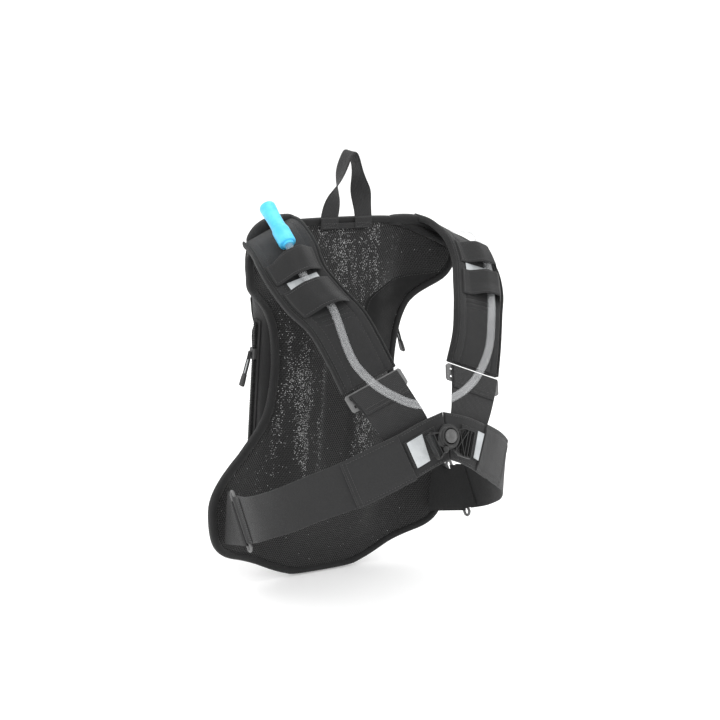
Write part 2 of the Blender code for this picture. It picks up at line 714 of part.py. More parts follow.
def build_buckle():
    frame = buckle_frame()
    # socket half: round housing with an arm to the wearer's right
    arm = [(-30, -17), (-29, -19), (-24, -19), (-11.5, -12.5)]
    arm_top = [(-11.5, 12.5), (-24, 19), (-29, 19), (-30, 17)]
    arm = turned_points(arm, BUCKLE_SLOPE)
    arm_top = turned_points(arm_top, BUCKLE_SLOPE)
    a0 = math.degrees(math.atan2(arm[-1][1], arm[-1][0]))
    a1 = math.degrees(math.atan2(arm_top[0][1], arm_top[0][0]))
    round_part = arc(0, 0, 17.0, a0 + 8, a1 + 360 - 8 if a1 < a0 + 8 else a1 - 8, 22)
    window = turned_points([(-26.5, -14), (-22.5, -14), (-22.5, 14), (-26.5, 14)], BUCKLE_SLOPE)
    window_low = turned_points([(-19.5, -14), (-14.5, -11.5), (-19.5, -5)], BUCKLE_SLOPE)
    window_high = turned_points([(-19.5, 14), (-19.5, 5), (-14.5, 11.5)], BUCKLE_SLOPE)
    bore = arc(0, 0, BUTTON_RADIUS + 0.8, 0, 348, 29)
    prism("buckle_socket", arm + round_part + arm_top, [window, window_low, window_high, bore], 0.5, 6.0,
          frame, "buckle_plastic")
    # tongue half: plate under the housing with an arm to the wearer's left
    slope = -BUCKLE_SLOPE
    arm2 = turned_points([(12.0, -12.5), (25, -19), (42, -19), (43.5, -17)], slope)
    arm2_top = turned_points([(43.5, 17), (42, 19), (25, 19), (12.0, 12.5)], slope)
    b0 = math.degrees(math.atan2(arm2_top[-1][1], arm2_top[-1][0]))
    b1 = math.degrees(math.atan2(arm2[0][1], arm2[0][0]))
    lug = arc(0, 0, 11.3, b0 + 8, b1 + 352, 20)
    win_a = turned_points([(20, -4), (25.5, -14), (26.5, -14), (26.5, 14), (25.5, 14), (20, 4)], slope)
    win_b = turned_points([(29.5, -14), (33.5, -14), (33.5, 14), (29.5, 14)], slope)
    win_c = turned_points([(36.5, -14.5), (40.5, -14.5), (40.5, 14.5), (36.5, 14.5)], slope)
    hole = arc(0, 0, 6.0, 0, 340, 17)
    prism("buckle_tongue", arm2 + arm2_top + lug, [win_a, win_b, win_c, hole], -2.2, 0.1, frame, "buckle_plastic")
    # press button: dome on a stem, held by a flange under the housing lip
    button = [(0, 1.2 + GAP), (BUTTON_RADIUS, 1.2 + GAP)]
    button += [(BUTTON_RADIUS, 6.2), (BUTTON_RADIUS - 1.0, 7.6), (BUTTON_RADIUS - 3.4, 8.8), (0, 9.6)]
    press = turned("buckle_button", [(r, h + BUTTON_TRAVEL) for r, h in button], frame, "button_plastic", count=24)
    set_origin(press, frame @ Vector((0, 0, 1.2 + BUTTON_TRAVEL)))
    ring = [(BUTTON_RADIUS + 1.0, 6.0 + 0.3), (13.4, 6.3), (13.0, 8.2), (BUTTON_RADIUS + 1.6, 8.2)]
    turned("buckle_collar", ring, frame, "buckle_plastic", count=24)


# ---- drink tube and bite valve --------------------------------------------------------------------

def valve_start(strap):
    """Where the tube ends: past the mouth of the upper band, in line with the valve."""
    s = UPPER_BAND[0]
    return strap.off(s, TUBE_U["right"], tube_lift("right", s)) + VALVE_AXIS * 10.0


def tube_route():
    left = strap_ribbon("left")
    right = strap_ribbon("right")
    port_top = frame_at(PORT_POINT, PORT_AXIS) @ Vector((0, 0, 8.0 + GAP))
    route = [port_top, port_top + Vector((9.5, -0.6, 2.6)), (134, 15, 411), (147, 2, 420), (155, -15, 424.5)]
    route += [(157.5, -33, 426.5), (155, -50, 426.5), left.off(1.8, 0.77, 6.4), left.off(2.3, 0.69, TUBE_LIFT)]
    route += [left.off(s, TUBE_U["left"], TUBE_LIFT) for s in (3.0, 3.75, 4.5)]
    route += [(95.4, -170, 355.9), (73.8, -197, 324.4), (43.7, -214, 296), (1.9, -228, 283), (-43.7, -236, 283),
              (-70, -224, 292), (-88, -206, 305), (-101, -184, 327)]
    route += [right.off(s, TUBE_U["right"], tube_lift("right", s)) for s in (4.6, 3.75, 3.1, 2.6)]
    start = valve_start(right)
    route += [start - VALVE_AXIS * 10.0, start - VALVE_AXIS * 5.0, start]
    return route


def build_tube():
    start = valve_start(strap_ribbon("right"))
    wire("drink_tube", even_line(tube_route(), 18.0), TUBE_RADIUS, "clear_tube", resolution=2)
    frame = frame_at(start + VALVE_AXIS * 0.6, VALVE_AXIS)
    total = VALVE_LENGTH
    turned("valve_sleeve", [(0, 0), (7.4, 0), (9.6, 1.5), (9.8, 21), (8.6, 24), (0, 24)], frame, "blue_valve", count=20)
    tip = [(0, 24 + GAP), (8.3, 24 + GAP), (8.4, 38), (9.0, 50), (9.3, total - 4), (7.6, total - 0.5), (0, total)]
    turned("bite_valve", tip, frame, "blue_valve", count=20)


# ---- side zips ------------------------------------------------------------------------------------

def build_zip(side):
    sign = 1 if side == "left" else -1
    tape_x = (ZIP_X - 2.9) * sign
    tape_low = [(tape_x, ZIP_Y - 0.5 * ZIP_TAPE, ZIP_LOW), (tape_x, ZIP_Y - 0.5 * ZIP_TAPE, ZIP_HIGH)]
    tape_high = [(x, y + ZIP_TAPE, z) for x, y, z in tape_low]
    tape = Ribbon(tape_low, tape_high, (sign, 0, 0))
    ribbon_solid("zip_tape_" + side, tape, (0.0, 1.0), (0.0, 1.0), (1, 1), 0.0, 0.9, "black_webbing")
    coil = [(ZIP_X * sign, ZIP_Y, ZIP_LOW + 3), (ZIP_X * sign, ZIP_Y, ZIP_HIGH - 3)]
    wire("zip_coil_" + side, coil, 1.6, "black_webbing", resolution=1)
    outward = Vector((sign, 0, 0))
    frame = Matrix((Vector((0, sign, 0)), outward, Vector((0, 0, 1)))).transposed().to_4x4()
    frame.translation = Vector((ZIP_X * sign, ZIP_Y, SLIDER_Z[side]))
    channel = [(-5, -1.3), (-2.1, -1.3), (-2.1, 1.6), (-1.4, 2.2), (1.4, 2.2), (2.1, 1.6), (2.1, -1.3), (5, -1.3),
               (5, 2.2), (3.4, 4.0), (-3.4, 4.0), (-5, 2.2)]
    body = prism("zip_slider_" + side, channel, [], -6.5, 6.5, frame, "zip_metal")
    pivot = Vector(((ZIP_X + 6.0) * sign, ZIP_Y, SLIDER_Z[side] + 1.0))
    set_origin(body, Vector((ZIP_X * sign, ZIP_Y, SLIDER_Z[side])))
    pull = [(-2.2, 1.2), (2.2, 1.2), (3.2, 0), (3.2, -8), (4.2, -12), (4.2, -40), (3.0, -42), (-3.0, -42),
            (-4.2, -40), (-4.2, -12), (-3.2, -8), (-3.2, 0)]
    pull_frame = Matrix((Vector((0, sign, 0)), Vector((0, 0, 1)), outward)).transposed().to_4x4()
    pull_frame.translation = pivot
    tab = prism("zip_pull_" + side, pull, [], -1.1, 1.0, pull_frame, "black_webbing")
    insert = [(-2.0, -14), (2.0, -14), (2.0, -38), (-2.0, -38)]
    strip = prism("zip_pull_insert_" + side, insert, [], 1.3, 1.7, pull_frame, "grey_reflective")
    for obj in (tab, strip):
        set_origin(obj, pivot)


def move_origin_to_hang_point():
    """The row's origin is the middle of the haul loop's fold line, where the pack hangs."""
    for obj in collection("hydration_pack").objects:
        obj.location -= Vector((0, LOOP_Y, LOOP_FOLD_Z)) * MM


clear_scene()
make_materials()
build_panel()
build_bag()
build_bladder()
build_port()
build_haul_loop()
for which in ("left", "right"):
    build_strap(which)
    build_belt(which)
    build_wing(which)
    build_zip(which)
build_buckle()
build_tube()
move_origin_to_hang_point()
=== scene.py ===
"""Looks of the hydration pack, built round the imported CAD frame.

Design numbers are millimetres on the pack: X to the wearer's left, -Y to the wearer's front, Z up from the
lowest edge of the back panel.  place() turns them into metres in the row frame.
"""
import math
import bmesh
import bpy
from mathutils import Matrix, Vector, noise


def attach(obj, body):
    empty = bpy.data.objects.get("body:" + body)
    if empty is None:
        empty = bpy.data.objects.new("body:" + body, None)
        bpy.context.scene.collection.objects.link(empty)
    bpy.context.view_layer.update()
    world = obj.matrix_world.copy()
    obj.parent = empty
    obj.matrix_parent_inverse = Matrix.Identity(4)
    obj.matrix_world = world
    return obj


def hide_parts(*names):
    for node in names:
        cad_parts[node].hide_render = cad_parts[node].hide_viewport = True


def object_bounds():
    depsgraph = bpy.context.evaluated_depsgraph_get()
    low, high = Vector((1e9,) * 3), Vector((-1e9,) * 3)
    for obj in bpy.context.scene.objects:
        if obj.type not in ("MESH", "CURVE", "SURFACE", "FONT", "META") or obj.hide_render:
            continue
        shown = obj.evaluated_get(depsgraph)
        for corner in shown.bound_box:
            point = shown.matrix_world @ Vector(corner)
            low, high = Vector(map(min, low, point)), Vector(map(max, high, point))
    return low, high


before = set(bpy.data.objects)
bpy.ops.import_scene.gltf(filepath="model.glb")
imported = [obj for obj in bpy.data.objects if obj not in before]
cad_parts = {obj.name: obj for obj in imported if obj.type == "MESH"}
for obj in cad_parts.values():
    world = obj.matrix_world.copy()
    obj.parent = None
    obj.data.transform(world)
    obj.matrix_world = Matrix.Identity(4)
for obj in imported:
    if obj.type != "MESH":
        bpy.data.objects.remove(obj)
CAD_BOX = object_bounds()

ORIGIN = Vector((0.0, -2.0, 444.0))
MM = 0.001
PACK = "pack"
SIDES = ("left", "right")


def place(p):
    return (Vector(p) - ORIGIN) * MM


def new_object(name, data):
    obj = bpy.data.objects.new(name, data)
    bpy.context.scene.collection.objects.link(obj)
    return obj


def axes_at(origin, x, y, z):
    m = Matrix((x, y, z)).transposed().to_4x4()
    m.translation = origin
    return m


def sign_of(side):
    return 1 if side == "left" else -1


# ---- camera ---------------------------------------------------------------------------------------

CAMERA_AZIMUTH, CAMERA_ELEVATION, CAMERA_ROLL = -34.0, 14.37, 3.9
CAMERA_BACK, CAMERA_RIGHT, CAMERA_UP = 2036.1, 46.3, 260.5
CAMERA_LENS = 81.97


def make_camera():
    azimuth, elevation, roll = (math.radians(a) for a in (CAMERA_AZIMUTH, CAMERA_ELEVATION, CAMERA_ROLL))
    back = Vector((math.sin(azimuth) * math.cos(elevation), -math.cos(azimuth) * math.cos(elevation),
                   math.sin(elevation)))
    side = Vector((math.cos(azimuth), math.sin(azimuth), 0.0))
    up = back.cross(side)
    right = side * math.cos(roll) + up * math.sin(roll)
    above = up * math.cos(roll) - side * math.sin(roll)
    data = bpy.data.cameras.new("photo_camera")
    data.sensor_width = 36.0
    data.lens = CAMERA_LENS
    data.clip_end = 50.0
    cam = new_object("photo_camera", data)
    cam.matrix_world = axes_at(place(back * CAMERA_BACK + right * CAMERA_RIGHT + above * CAMERA_UP),
                               right, above, back)
    bpy.context.scene.camera = cam


# ---- curves and meshes ----------------------------------------------------------------------------

def smooth(t):
    t = max(0.0, min(1.0, t))
    return t * t * (3.0 - 2.0 * t)


def mirrored(points):
    return [(-p[0], p[1], p[2]) for p in points]


def catmull(points, t):
    last = len(points) - 1
    k = min(max(int(math.floor(t)), 0), last - 1)
    f = t - k
    p1 = Vector(points[k])
    p2 = Vector(points[k + 1])
    p0 = Vector(points[k - 1]) if k > 0 else p1 * 2 - p2
    p3 = Vector(points[k + 2]) if k + 2 <= last else p2 * 2 - p1
    return 0.5 * (2 * p1 + (p2 - p0) * f + (2 * p0 - 5 * p1 + 4 * p2 - p3) * f * f
                  + (3 * p1 - p0 - 3 * p2 + p3) * f * f * f)


def even_line(points, spacing, cyclic=False):
    """The smooth curve through the points, read at equal spacing."""
    if cyclic:
        around = [points[-2], points[-1]] + list(points) + [points[0], points[1]]
        fine = [catmull(around, 2 + i / 16) for i in range(len(points) * 16 + 1)]
    else:
        fine = [catmull(points, i / 24) for i in range((len(points) - 1) * 24 + 1)]
    total = sum((b - a).length for a, b in zip(fine, fine[1:]))
    count = max(2, round(total / spacing))
    step = total / count
    out = [fine[0]]
    walked = 0.0
    for a, b in zip(fine, fine[1:]):
        length = (b - a).length
        while len(out) < count and walked + length >= step * len(out) - 1e-9:
            out.append(a.lerp(b, (step * len(out) - walked) / max(length, 1e-9)))
        walked += length
    if not cyclic:
        out.append(fine[-1])
    return out


def make_object(name, verts, faces, mat, uvs=None, sharp=35.0, body=PACK):
    """A mesh object from points in pack millimetres, shaded smooth up to an edge angle."""
    mesh = bpy.data.meshes.new(name)
    mesh.from_pydata([place(v) for v in verts], [], faces)
    if uvs is not None:
        layer = mesh.uv_layers.new(name="weave")
        for loop in mesh.loops:
            layer.data[loop.index].uv = uvs[loop.vertex_index]
    bm = bmesh.new()
    bm.from_mesh(mesh)
    bmesh.ops.recalc_face_normals(bm, faces=bm.faces)
    if bm.calc_volume(signed=True) < 0:
        bmesh.ops.reverse_faces(bm, faces=bm.faces)
    limit = math.radians(sharp)
    for face in bm.faces:
        face.smooth = True
    for edge in bm.edges:
        if len(edge.link_faces) == 2 and edge.calc_face_angle(0.0) > limit:
            edge.smooth = False
    bm.to_mesh(mesh)
    bm.free()
    obj = new_object(name, mesh)
    mesh.materials.append(mat)
    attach(obj, body)
    return obj


def ring_faces(rings, size, base=0, closed=False):
    """The quads between stacked rings of points; closed joins the last ring to the first."""
    faces = []
    for i in range(rings if closed else rings - 1):
        a, b = base + i * size, base + (i + 1) % rings * size
        for j in range(size):
            k = (j + 1) % size
            faces.append((a + j, a + k, b + k, b + j))
    return faces


def sheet_solid(name, low, high, mat, body=PACK, sharp=35.0):
    """Closed solid between two grids of points, with a metric UV map over both faces."""
    rows, cols = len(low), len(low[0])
    verts = [p for row in low for p in row] + [p for row in high for p in row]
    uvs = []
    for grid in (low, high):
        run = 0.0
        mid = cols // 2
        for i, row in enumerate(grid):
            if i:
                run += (row[mid] - grid[i - 1][mid]).length
            across = 0.0
            line = []
            for j, p in enumerate(row):
                if j:
                    across += (p - row[j - 1]).length
                line.append(across)
            uvs += [(run * MM, (a - 0.5 * across) * MM) for a in line]
    top = rows * cols
    faces = []
    for i in range(rows - 1):
        for j in range(cols - 1):
            a, b = i * cols + j, i * cols + j + 1
            c, d = (i + 1) * cols + j + 1, (i + 1) * cols + j
            faces.append((a, b, c, d))
            faces.append((top + d, top + c, top + b, top + a))
    rims = [(i * cols + j, (i + 1) * cols + j) for i in range(rows - 1) for j in (0, cols - 1)]
    rims += [(i * cols + j, i * cols + j + 1) for i in (0, rows - 1) for j in range(cols - 1)]
    faces += [(a, b, top + b, top + a) for a, b in rims]
    return make_object(name, verts, faces, mat, uvs, sharp, body)


def sweep(name, points, profile, across_of, mat, cyclic=False, body=PACK, sharp=40.0):
    """Sweeps a closed 2-D profile along points; across_of(i, along) gives the profile's first axis."""
    count = len(points)
    rings, uvs = [], []
    run = 0.0
    for i, p in enumerate(points):
        before = points[i - 1] if i or cyclic else p
        after = points[(i + 1) % count] if i < count - 1 or cyclic else p
        along = (after - before).normalized()
        across = across_of(i, along)
        across = (across - along * across.dot(along)).normalized()
        normal = across.cross(along).normalized()
        rings.append([p + across * a + normal * b for a, b in profile])
        if i:
            run += (p - points[i - 1]).length
        turn = 0.0
        for k in range(len(profile)):
            if k:
                turn += math.dist(profile[k], profile[k - 1])
            uvs.append((run * MM, turn * MM))
    n = len(profile)
    verts = [v for ring in rings for v in ring]
    faces = ring_faces(count, n, closed=cyclic)
    if not cyclic:
        faces.append(tuple(range(n)))
        faces.append(tuple(range((count - 1) * n, count * n)))
    return make_object(name, verts, faces, mat, uvs, sharp, body)


def ellipse(a, b, count, power=2.0):
    out = []
    for i in range(count):
        t = 2 * math.pi * i / count
        c, s = math.cos(t), math.sin(t)
        out.append((a * math.copysign(abs(c) ** (2 / power), c), b * math.copysign(abs(s) ** (2 / power), s)))
    return out


def transport(points, start):
    """Across vectors that turn as little as possible along the line."""
    out = []
    across = Vector(start)
    for i in range(len(points)):
        a = points[max(i - 1, 0)]
        b = points[min(i + 1, len(points) - 1)]
        along = (b - a).normalized()
        across = (across - along * across.dot(along)).normalized()
        out.append(across.copy())
    return lambda i, along: out[i]


STITCH_LENGTH = 2.3
STITCH_SIDES = 5
STITCH_RINGS = ((-0.5, 0.25, 1), (-0.3, 1.0, 0), (0.3, 1.0, 0), (0.5, 0.25, 1))  # along, thickness, sunk


def stitch_line(name, points, normals, pitch=3.4, radius=0.34):
    """A row of sewn stitches: one short rounded thread for each, lying on the fabric."""
    verts, faces = [], []
    runs = [0.0]
    for a, b in zip(points, points[1:]):
        runs.append(runs[-1] + (b - a).length)
    total = runs[-1]
    at = 0.6 * pitch
    k = 0
    while at < total - 0.5 * pitch:
        while runs[k + 1] < at:
            k += 1
        f = (at - runs[k]) / max(runs[k + 1] - runs[k], 1e-6)
        centre = points[k].lerp(points[k + 1], f)
        up = normals[k].lerp(normals[k + 1], f).normalized()
        along = (points[k + 1] - points[k]).normalized()
        side = along.cross(up).normalized()
        base = len(verts)
        for t, r, sunk in STITCH_RINGS:
            mid = centre + along * (t * STITCH_LENGTH) + up * (radius * 0.35 - sunk * radius)
            for q in range(STITCH_SIDES):
                ang = 2 * math.pi * q / STITCH_SIDES
                verts.append(mid + (side * math.cos(ang) + up * math.sin(ang)) * radius * r)
        faces += ring_faces(len(STITCH_RINGS), STITCH_SIDES, base)
        faces.append(tuple(range(base, base + STITCH_SIDES)))
        faces.append(tuple(reversed(range(len(verts) - STITCH_SIDES, len(verts)))))
        at += pitch
    thread = make_object(name, verts, faces, MAT["thread"])


class Ribbon:
    """A curved face between two edge lines; u runs from the first edge to the second."""

    def __init__(self, edge_a, edge_b, outward):
        self.a, self.b, self.outward = edge_a, edge_b, Vector(outward)

    def point(self, s, u):
        return catmull(self.a, s).lerp(catmull(self.b, s), u)

    def normal(self, s, u):
        last = len(self.a) - 1
        s0, s1 = max(s - 0.05, 0.0), min(s + 0.05, last)
        along = self.point(s1, u) - self.point(s0, u)
        across = self.point(s, 1.0) - self.point(s, 0.0)
        n = along.cross(across).normalized()
        return n if n.dot(self.outward) > 0 else -n

    def off(self, s, u, height):
        return self.point(s, u) + self.normal(s, u) * height

    def width(self, s):
        return (self.point(s, 1.0) - self.point(s, 0.0)).length


def value(f, s, u):
    return f(s, u) if callable(f) else f


def rounding(out):
    """Share of the thickness that a round edge has lost, from 0 where it starts to nearly 1 at its rim."""
    return 0.92 * (1 - math.sqrt(max(0.0, 1 - max(0.0, out) ** 2)))


def ribbon_piece(name, ribbon, s_range, u_range, steps, low, high, mat, round_edge=0.0, body=PACK,
                 round_ends=0.0):
    """A fabric piece on a ribbon, with rounded long edges and, if asked, rounded ends."""
    ns, nu = steps
    lows, highs = [], []
    for i in range(ns + 1):
        fs = i / ns
        if round_ends:
            fs = 0.5 - 0.5 * math.cos(math.pi * fs)
        s = s_range[0] + (s_range[1] - s_range[0]) * fs
        low_row, high_row = [], []
        for j in range(nu + 1):
            fu = 0.5 - 0.5 * math.cos(math.pi * j / nu) if round_edge else j / nu
            u = u_range[0] + (u_range[1] - u_range[0]) * fu
            a, b = value(low, s, u), value(high, s, u)
            pinch = 0.0
            if round_edge:
                inside = min(fu, 1 - fu) * ribbon.width(s) * abs(u_range[1] - u_range[0])
                pinch = (b - a) * 0.5 * rounding(1 - inside / round_edge)
            if round_ends:
                pinch = max(pinch, (b - a) * 0.5 * rounding(1 - min(fs, 1 - fs) / round_ends))
            low_row.append(ribbon.off(s, u, a + pinch))
            high_row.append(ribbon.off(s, u, b - pinch))
        lows.append(low_row)
        highs.append(high_row)
    return sheet_solid(name, lows, highs, mat, body)


def ribbon_stitch(name, ribbon, path, height, pitch=3.4, radius=0.34):
    """Stitches on a ribbon along a path of (s, u) corner points."""
    points, normals = [], []
    for (s0, u0), (s1, u1) in zip(path, path[1:]):
        span = (ribbon.point(s1, u1) - ribbon.point(s0, u0)).length
        n = max(2, int(span / 4))
        for i in range(n + (1 if (s1, u1) == path[-1] else 0)):
            s, u = s0 + (s1 - s0) * i / n, u0 + (u1 - u0) * i / n
            points.append(ribbon.off(s, u, value(height, s, u)))
            normals.append(ribbon.normal(s, u))
    stitch_line(name, points, normals, pitch, radius)


def turned(name, profile, where, mat, count=48, body=PACK, sharp=40.0):
    """Solid of revolution from (radius, height) points: a line from axis to axis, or a closed ring."""
    hollow = min(r for r, _ in profile) > 0.01
    verts, faces = [], []
    n = len(profile)
    for j in range(count):
        ang = 2 * math.pi * j / count
        for r, h in profile:
            verts.append(where @ Vector((r * math.cos(ang), r * math.sin(ang), h)))
    for j in range(count):
        k = (j + 1) % count
        for i in range(n if hollow else n - 1):
            m = (i + 1) % n
            a, b, c, d = j * n + i, k * n + i, k * n + m, j * n + m
            if not hollow and profile[i][0] < 0.01:
                faces.append((a, c, d))
            elif not hollow and profile[m][0] < 0.01:
                faces.append((a, b, c))
            else:
                faces.append((a, b, c, d))
    obj = make_object(name, verts, faces, mat, sharp=sharp, body=body)
    bm = bmesh.new()
    bm.from_mesh(obj.data)
    bmesh.ops.remove_doubles(bm, verts=bm.verts, dist=1e-7)
    bm.to_mesh(obj.data)
    bm.free()
    return obj


def frame_at(origin, axis):
    z = Vector(axis).normalized()
    x = Vector((0, 0, 1)).cross(z).normalized()
    return axes_at(Vector(origin), x, z.cross(x), z)


RIM_ANGLE = 1.2  # radians between two faces from which a plate's edge is softened


def plate(name, outline, holes, low, high, where, mat, bevel=0.5, body=PACK):
    """Moulded plate from a 2-D outline with holes, between two heights, with softened edges."""
    curve = bpy.data.curves.new(name, "CURVE")
    curve.dimensions = "2D"
    curve.fill_mode = "BOTH"
    curve.extrude = 0.5 * (high - low)
    curve.render_resolution_u = 0
    for loop in [outline] + list(holes):
        spline = curve.splines.new("POLY")
        spline.points.add(len(loop) - 1)
        for item, p in zip(spline.points, loop):
            item.co = (p[0], p[1], 0.0, 1.0)
        spline.use_cyclic_u = True
    temp = new_object(name + "_flat", curve)
    graph = bpy.context.evaluated_depsgraph_get()
    mesh = bpy.data.meshes.new_from_object(temp.evaluated_get(graph))
    bpy.data.objects.remove(temp, do_unlink=True)
    bm = bmesh.new()
    bm.from_mesh(mesh)
    bpy.data.meshes.remove(mesh)
    bmesh.ops.remove_doubles(bm, verts=bm.verts, dist=1e-4)
    bmesh.ops.dissolve_limit(bm, angle_limit=0.02, verts=bm.verts, edges=bm.edges)
    middle = 0.5 * (high + low)
    rim = [e for e in bm.edges if len(e.link_faces) == 2 and e.calc_face_angle(0.0) > RIM_ANGLE]
    bmesh.ops.bevel(bm, geom=rim, offset=bevel, segments=3, profile=0.6, affect="EDGES", clamp_overlap=True)
    verts = [where @ (v.co + Vector((0, 0, middle))) for v in bm.verts]
    bm.verts.index_update()
    faces = [[v.index for v in f.verts] for f in bm.faces]
    bm.free()
    return make_object(name, verts, faces, mat, sharp=38.0, body=body)


# ---- materials ------------------------------------------------------------------------------------

class Surface:
    """One procedural material: a Principled shader fed by a small graph."""

    def __init__(self, name, rough=0.8, metallic=0.0, sheen=0.0, sheen_rough=0.4, specular=0.5, coat=0.0,
                 coat_rough=0.1, transmission=0.0, ior=1.45, subsurface=0.0):
        self.mat = bpy.data.materials.new(name)
        self.mat.use_nodes = True
        self.tree = self.mat.node_tree
        self.tree.nodes.clear()
        out = self.tree.nodes.new("ShaderNodeOutputMaterial")
        self.bsdf = self.tree.nodes.new("ShaderNodeBsdfPrincipled")
        self.tree.links.new(self.bsdf.outputs[0], out.inputs[0])
        settings = {"Roughness": rough, "Metallic": metallic, "Sheen Weight": sheen,
                    "Sheen Roughness": sheen_rough, "Specular IOR Level": specular, "Coat Weight": coat,
                    "Coat Roughness": coat_rough, "Transmission Weight": transmission, "IOR": ior,
                    "Subsurface Weight": subsurface}
        for socket, number in settings.items():
            self.bsdf.inputs[socket].default_value = number

    def set(self, target, source):
        if isinstance(source, bpy.types.NodeSocket):
            self.tree.links.new(source, target)
        elif isinstance(source, (tuple, list)) and len(source) == 3 and len(target.default_value) == 4:
            target.default_value = (*source, 1.0)
        else:
            target.default_value = source

    def coords(self, uv):
        if uv:
            node = self.tree.nodes.new("ShaderNodeUVMap")
            node.uv_map = "weave"
            return node.outputs[0]
        return self.tree.nodes.new("ShaderNodeTexCoord").outputs["Object"]

    def math(self, op, a, b=0.0, c=0.0):
        node = self.tree.nodes.new("ShaderNodeMath")
        node.operation = op
        for socket, source in zip(node.inputs, (a, b, c)):
            self.set(socket, source)
        return node.outputs[0]

    def vector(self, op, a, b=(0, 0, 0), c=(0, 0, 0)):
        node = self.tree.nodes.new("ShaderNodeVectorMath")
        node.operation = op
        self.set(node.inputs[0], a)
        self.set(node.inputs[1], b)
        if op in ("WRAP", "MULTIPLY_ADD"):
            self.set(node.inputs[2], c)
        return node.outputs["Value" if op in ("LENGTH", "DISTANCE", "DOT_PRODUCT") else "Vector"]

    def split(self, v):
        node = self.tree.nodes.new("ShaderNodeSeparateXYZ")
        self.set(node.inputs[0], v)
        return node.outputs

    def join(self, x, y, z=0.0):
        node = self.tree.nodes.new("ShaderNodeCombineXYZ")
        for socket, source in zip(node.inputs, (x, y, z)):
            self.set(socket, source)
        return node.outputs[0]

    def noise(self, v, scale, detail=3.0, rough=0.55):
        node = self.tree.nodes.new("ShaderNodeTexNoise")
        self.set(node.inputs["Vector"], v)
        node.inputs["Scale"].default_value = scale
        node.inputs["Detail"].default_value = detail
        node.inputs["Roughness"].default_value = rough
        return node.outputs["Fac"]

    def white(self, v):
        node = self.tree.nodes.new("ShaderNodeTexWhiteNoise")
        self.set(node.inputs["Vector"], v)
        return node.outputs["Value"]

    def step(self, value, low, high, to_low=0.0, to_high=1.0):
        node = self.tree.nodes.new("ShaderNodeMapRange")
        node.interpolation_type = "SMOOTHSTEP"
        for socket, source in zip(node.inputs, (value, low, high, to_low, to_high)):
            self.set(socket, source)
        return node.outputs[0]

    def blend(self, fac, a, b):
        node = self.tree.nodes.new("ShaderNodeMix")
        node.data_type = "RGBA"
        self.set(node.inputs[0], fac)
        self.set(node.inputs[6], a)
        self.set(node.inputs[7], b)
        return node.outputs[2]

    def bump(self, height, distance, strength=1.0, under=None):
        node = self.tree.nodes.new("ShaderNodeBump")
        node.inputs["Strength"].default_value = strength
        node.inputs["Distance"].default_value = distance
        self.set(node.inputs["Height"], height)
        if under is not None:
            self.set(node.inputs["Normal"], under)
        return node.outputs[0]

    def color(self, source):
        self.set(self.bsdf.inputs["Base Color"], source)

    def rough(self, source):
        self.set(self.bsdf.inputs["Roughness"], source)

    def normal(self, source):
        self.set(self.bsdf.inputs["Normal"], source)


def grey(v, tint=(1.0, 1.0, 1.0)):
    return (v * tint[0], v * tint[1], v * tint[2])


def woven(name, dark, light, pitch, uv=True, kind="plain", rough=0.86, sheen=0.25, wrinkle=0.0, specular=0.35,
          tint=(1.0, 1.0, 1.02)):
    """Woven cloth: yarns in two directions with painted shade in the gaps between them, slow colour drift,
    fine random flecks and light fuzz.
    """
    m = Surface(name, sheen=sheen, sheen_rough=0.45, specular=specular)
    v = m.coords(uv)
    place_v = m.coords(False)
    x, y, z = m.split(v)[:3]
    if not uv:
        x, y = m.math("ADD", x, y), z
    px = m.math("MULTIPLY", x, math.pi / pitch)
    py = m.math("MULTIPLY", y, math.pi / pitch)
    if kind == "plain":
        yarn = m.math("MULTIPLY", m.math("SINE", px), m.math("SINE", py))
        yarn = m.math("MULTIPLY_ADD", yarn, 0.5, 0.5)
    elif kind == "twill":
        slope = m.math("SINE", m.math("ADD", px, m.math("MULTIPLY", py, 1.0)))
        thread = m.math("ABSOLUTE", m.math("SINE", m.math("MULTIPLY", px, 2.0)))
        yarn = m.math("MULTIPLY_ADD", slope, 0.32, m.math("MULTIPLY_ADD", thread, 0.3, 0.3))
    elif kind == "rib":
        rib = m.math("ABSOLUTE", m.math("SINE", py))
        pick = m.math("SINE", m.math("MULTIPLY_ADD", px, 1.0, m.math("MULTIPLY", py, 1.0)))
        yarn = m.math("MULTIPLY_ADD", rib, 0.7, m.math("MULTIPLY_ADD", pick, 0.15, 0.1))
    else:
        rib = m.math("ABSOLUTE", m.math("SINE", px))
        pick = m.math("ABSOLUTE", m.math("SINE", m.math("MULTIPLY", py, 1.6)))
        yarn = m.math("MULTIPLY_ADD", rib, 0.65, m.math("MULTIPLY", pick, 0.3))
    drift = m.noise(place_v, 45.0, 4.0, 0.6)
    slub = m.noise(place_v, 560.0, 2.0, 0.5)
    lift = m.math("MULTIPLY_ADD", drift, 0.5, m.math("MULTIPLY", slub, 0.5))
    # The yarn height also sets the colour: the gaps between yarns get painted shade and the yarn tops are
    # painted lighter; drift and slub add random tone.
    shade = m.math("MULTIPLY_ADD", yarn, 0.55, m.math("MULTIPLY_ADD", lift, 0.9, -0.22))
    m.color(m.blend(m.step(shade, 0.0, 1.0), grey(dark, tint), grey(light, tint)))
    m.rough(m.step(drift, 0.25, 0.75, rough - 0.07, rough + 0.07))
    first = m.bump(yarn, pitch * 0.35, 0.7)
    second = m.bump(m.noise(place_v, 160.0, 4.0, 0.6), 0.0007, 0.5, first)
    if wrinkle:
        second = m.bump(m.noise(place_v, 28.0, 3.0, 0.5), wrinkle, 0.6, second)
    m.normal(second)
    return m.mat


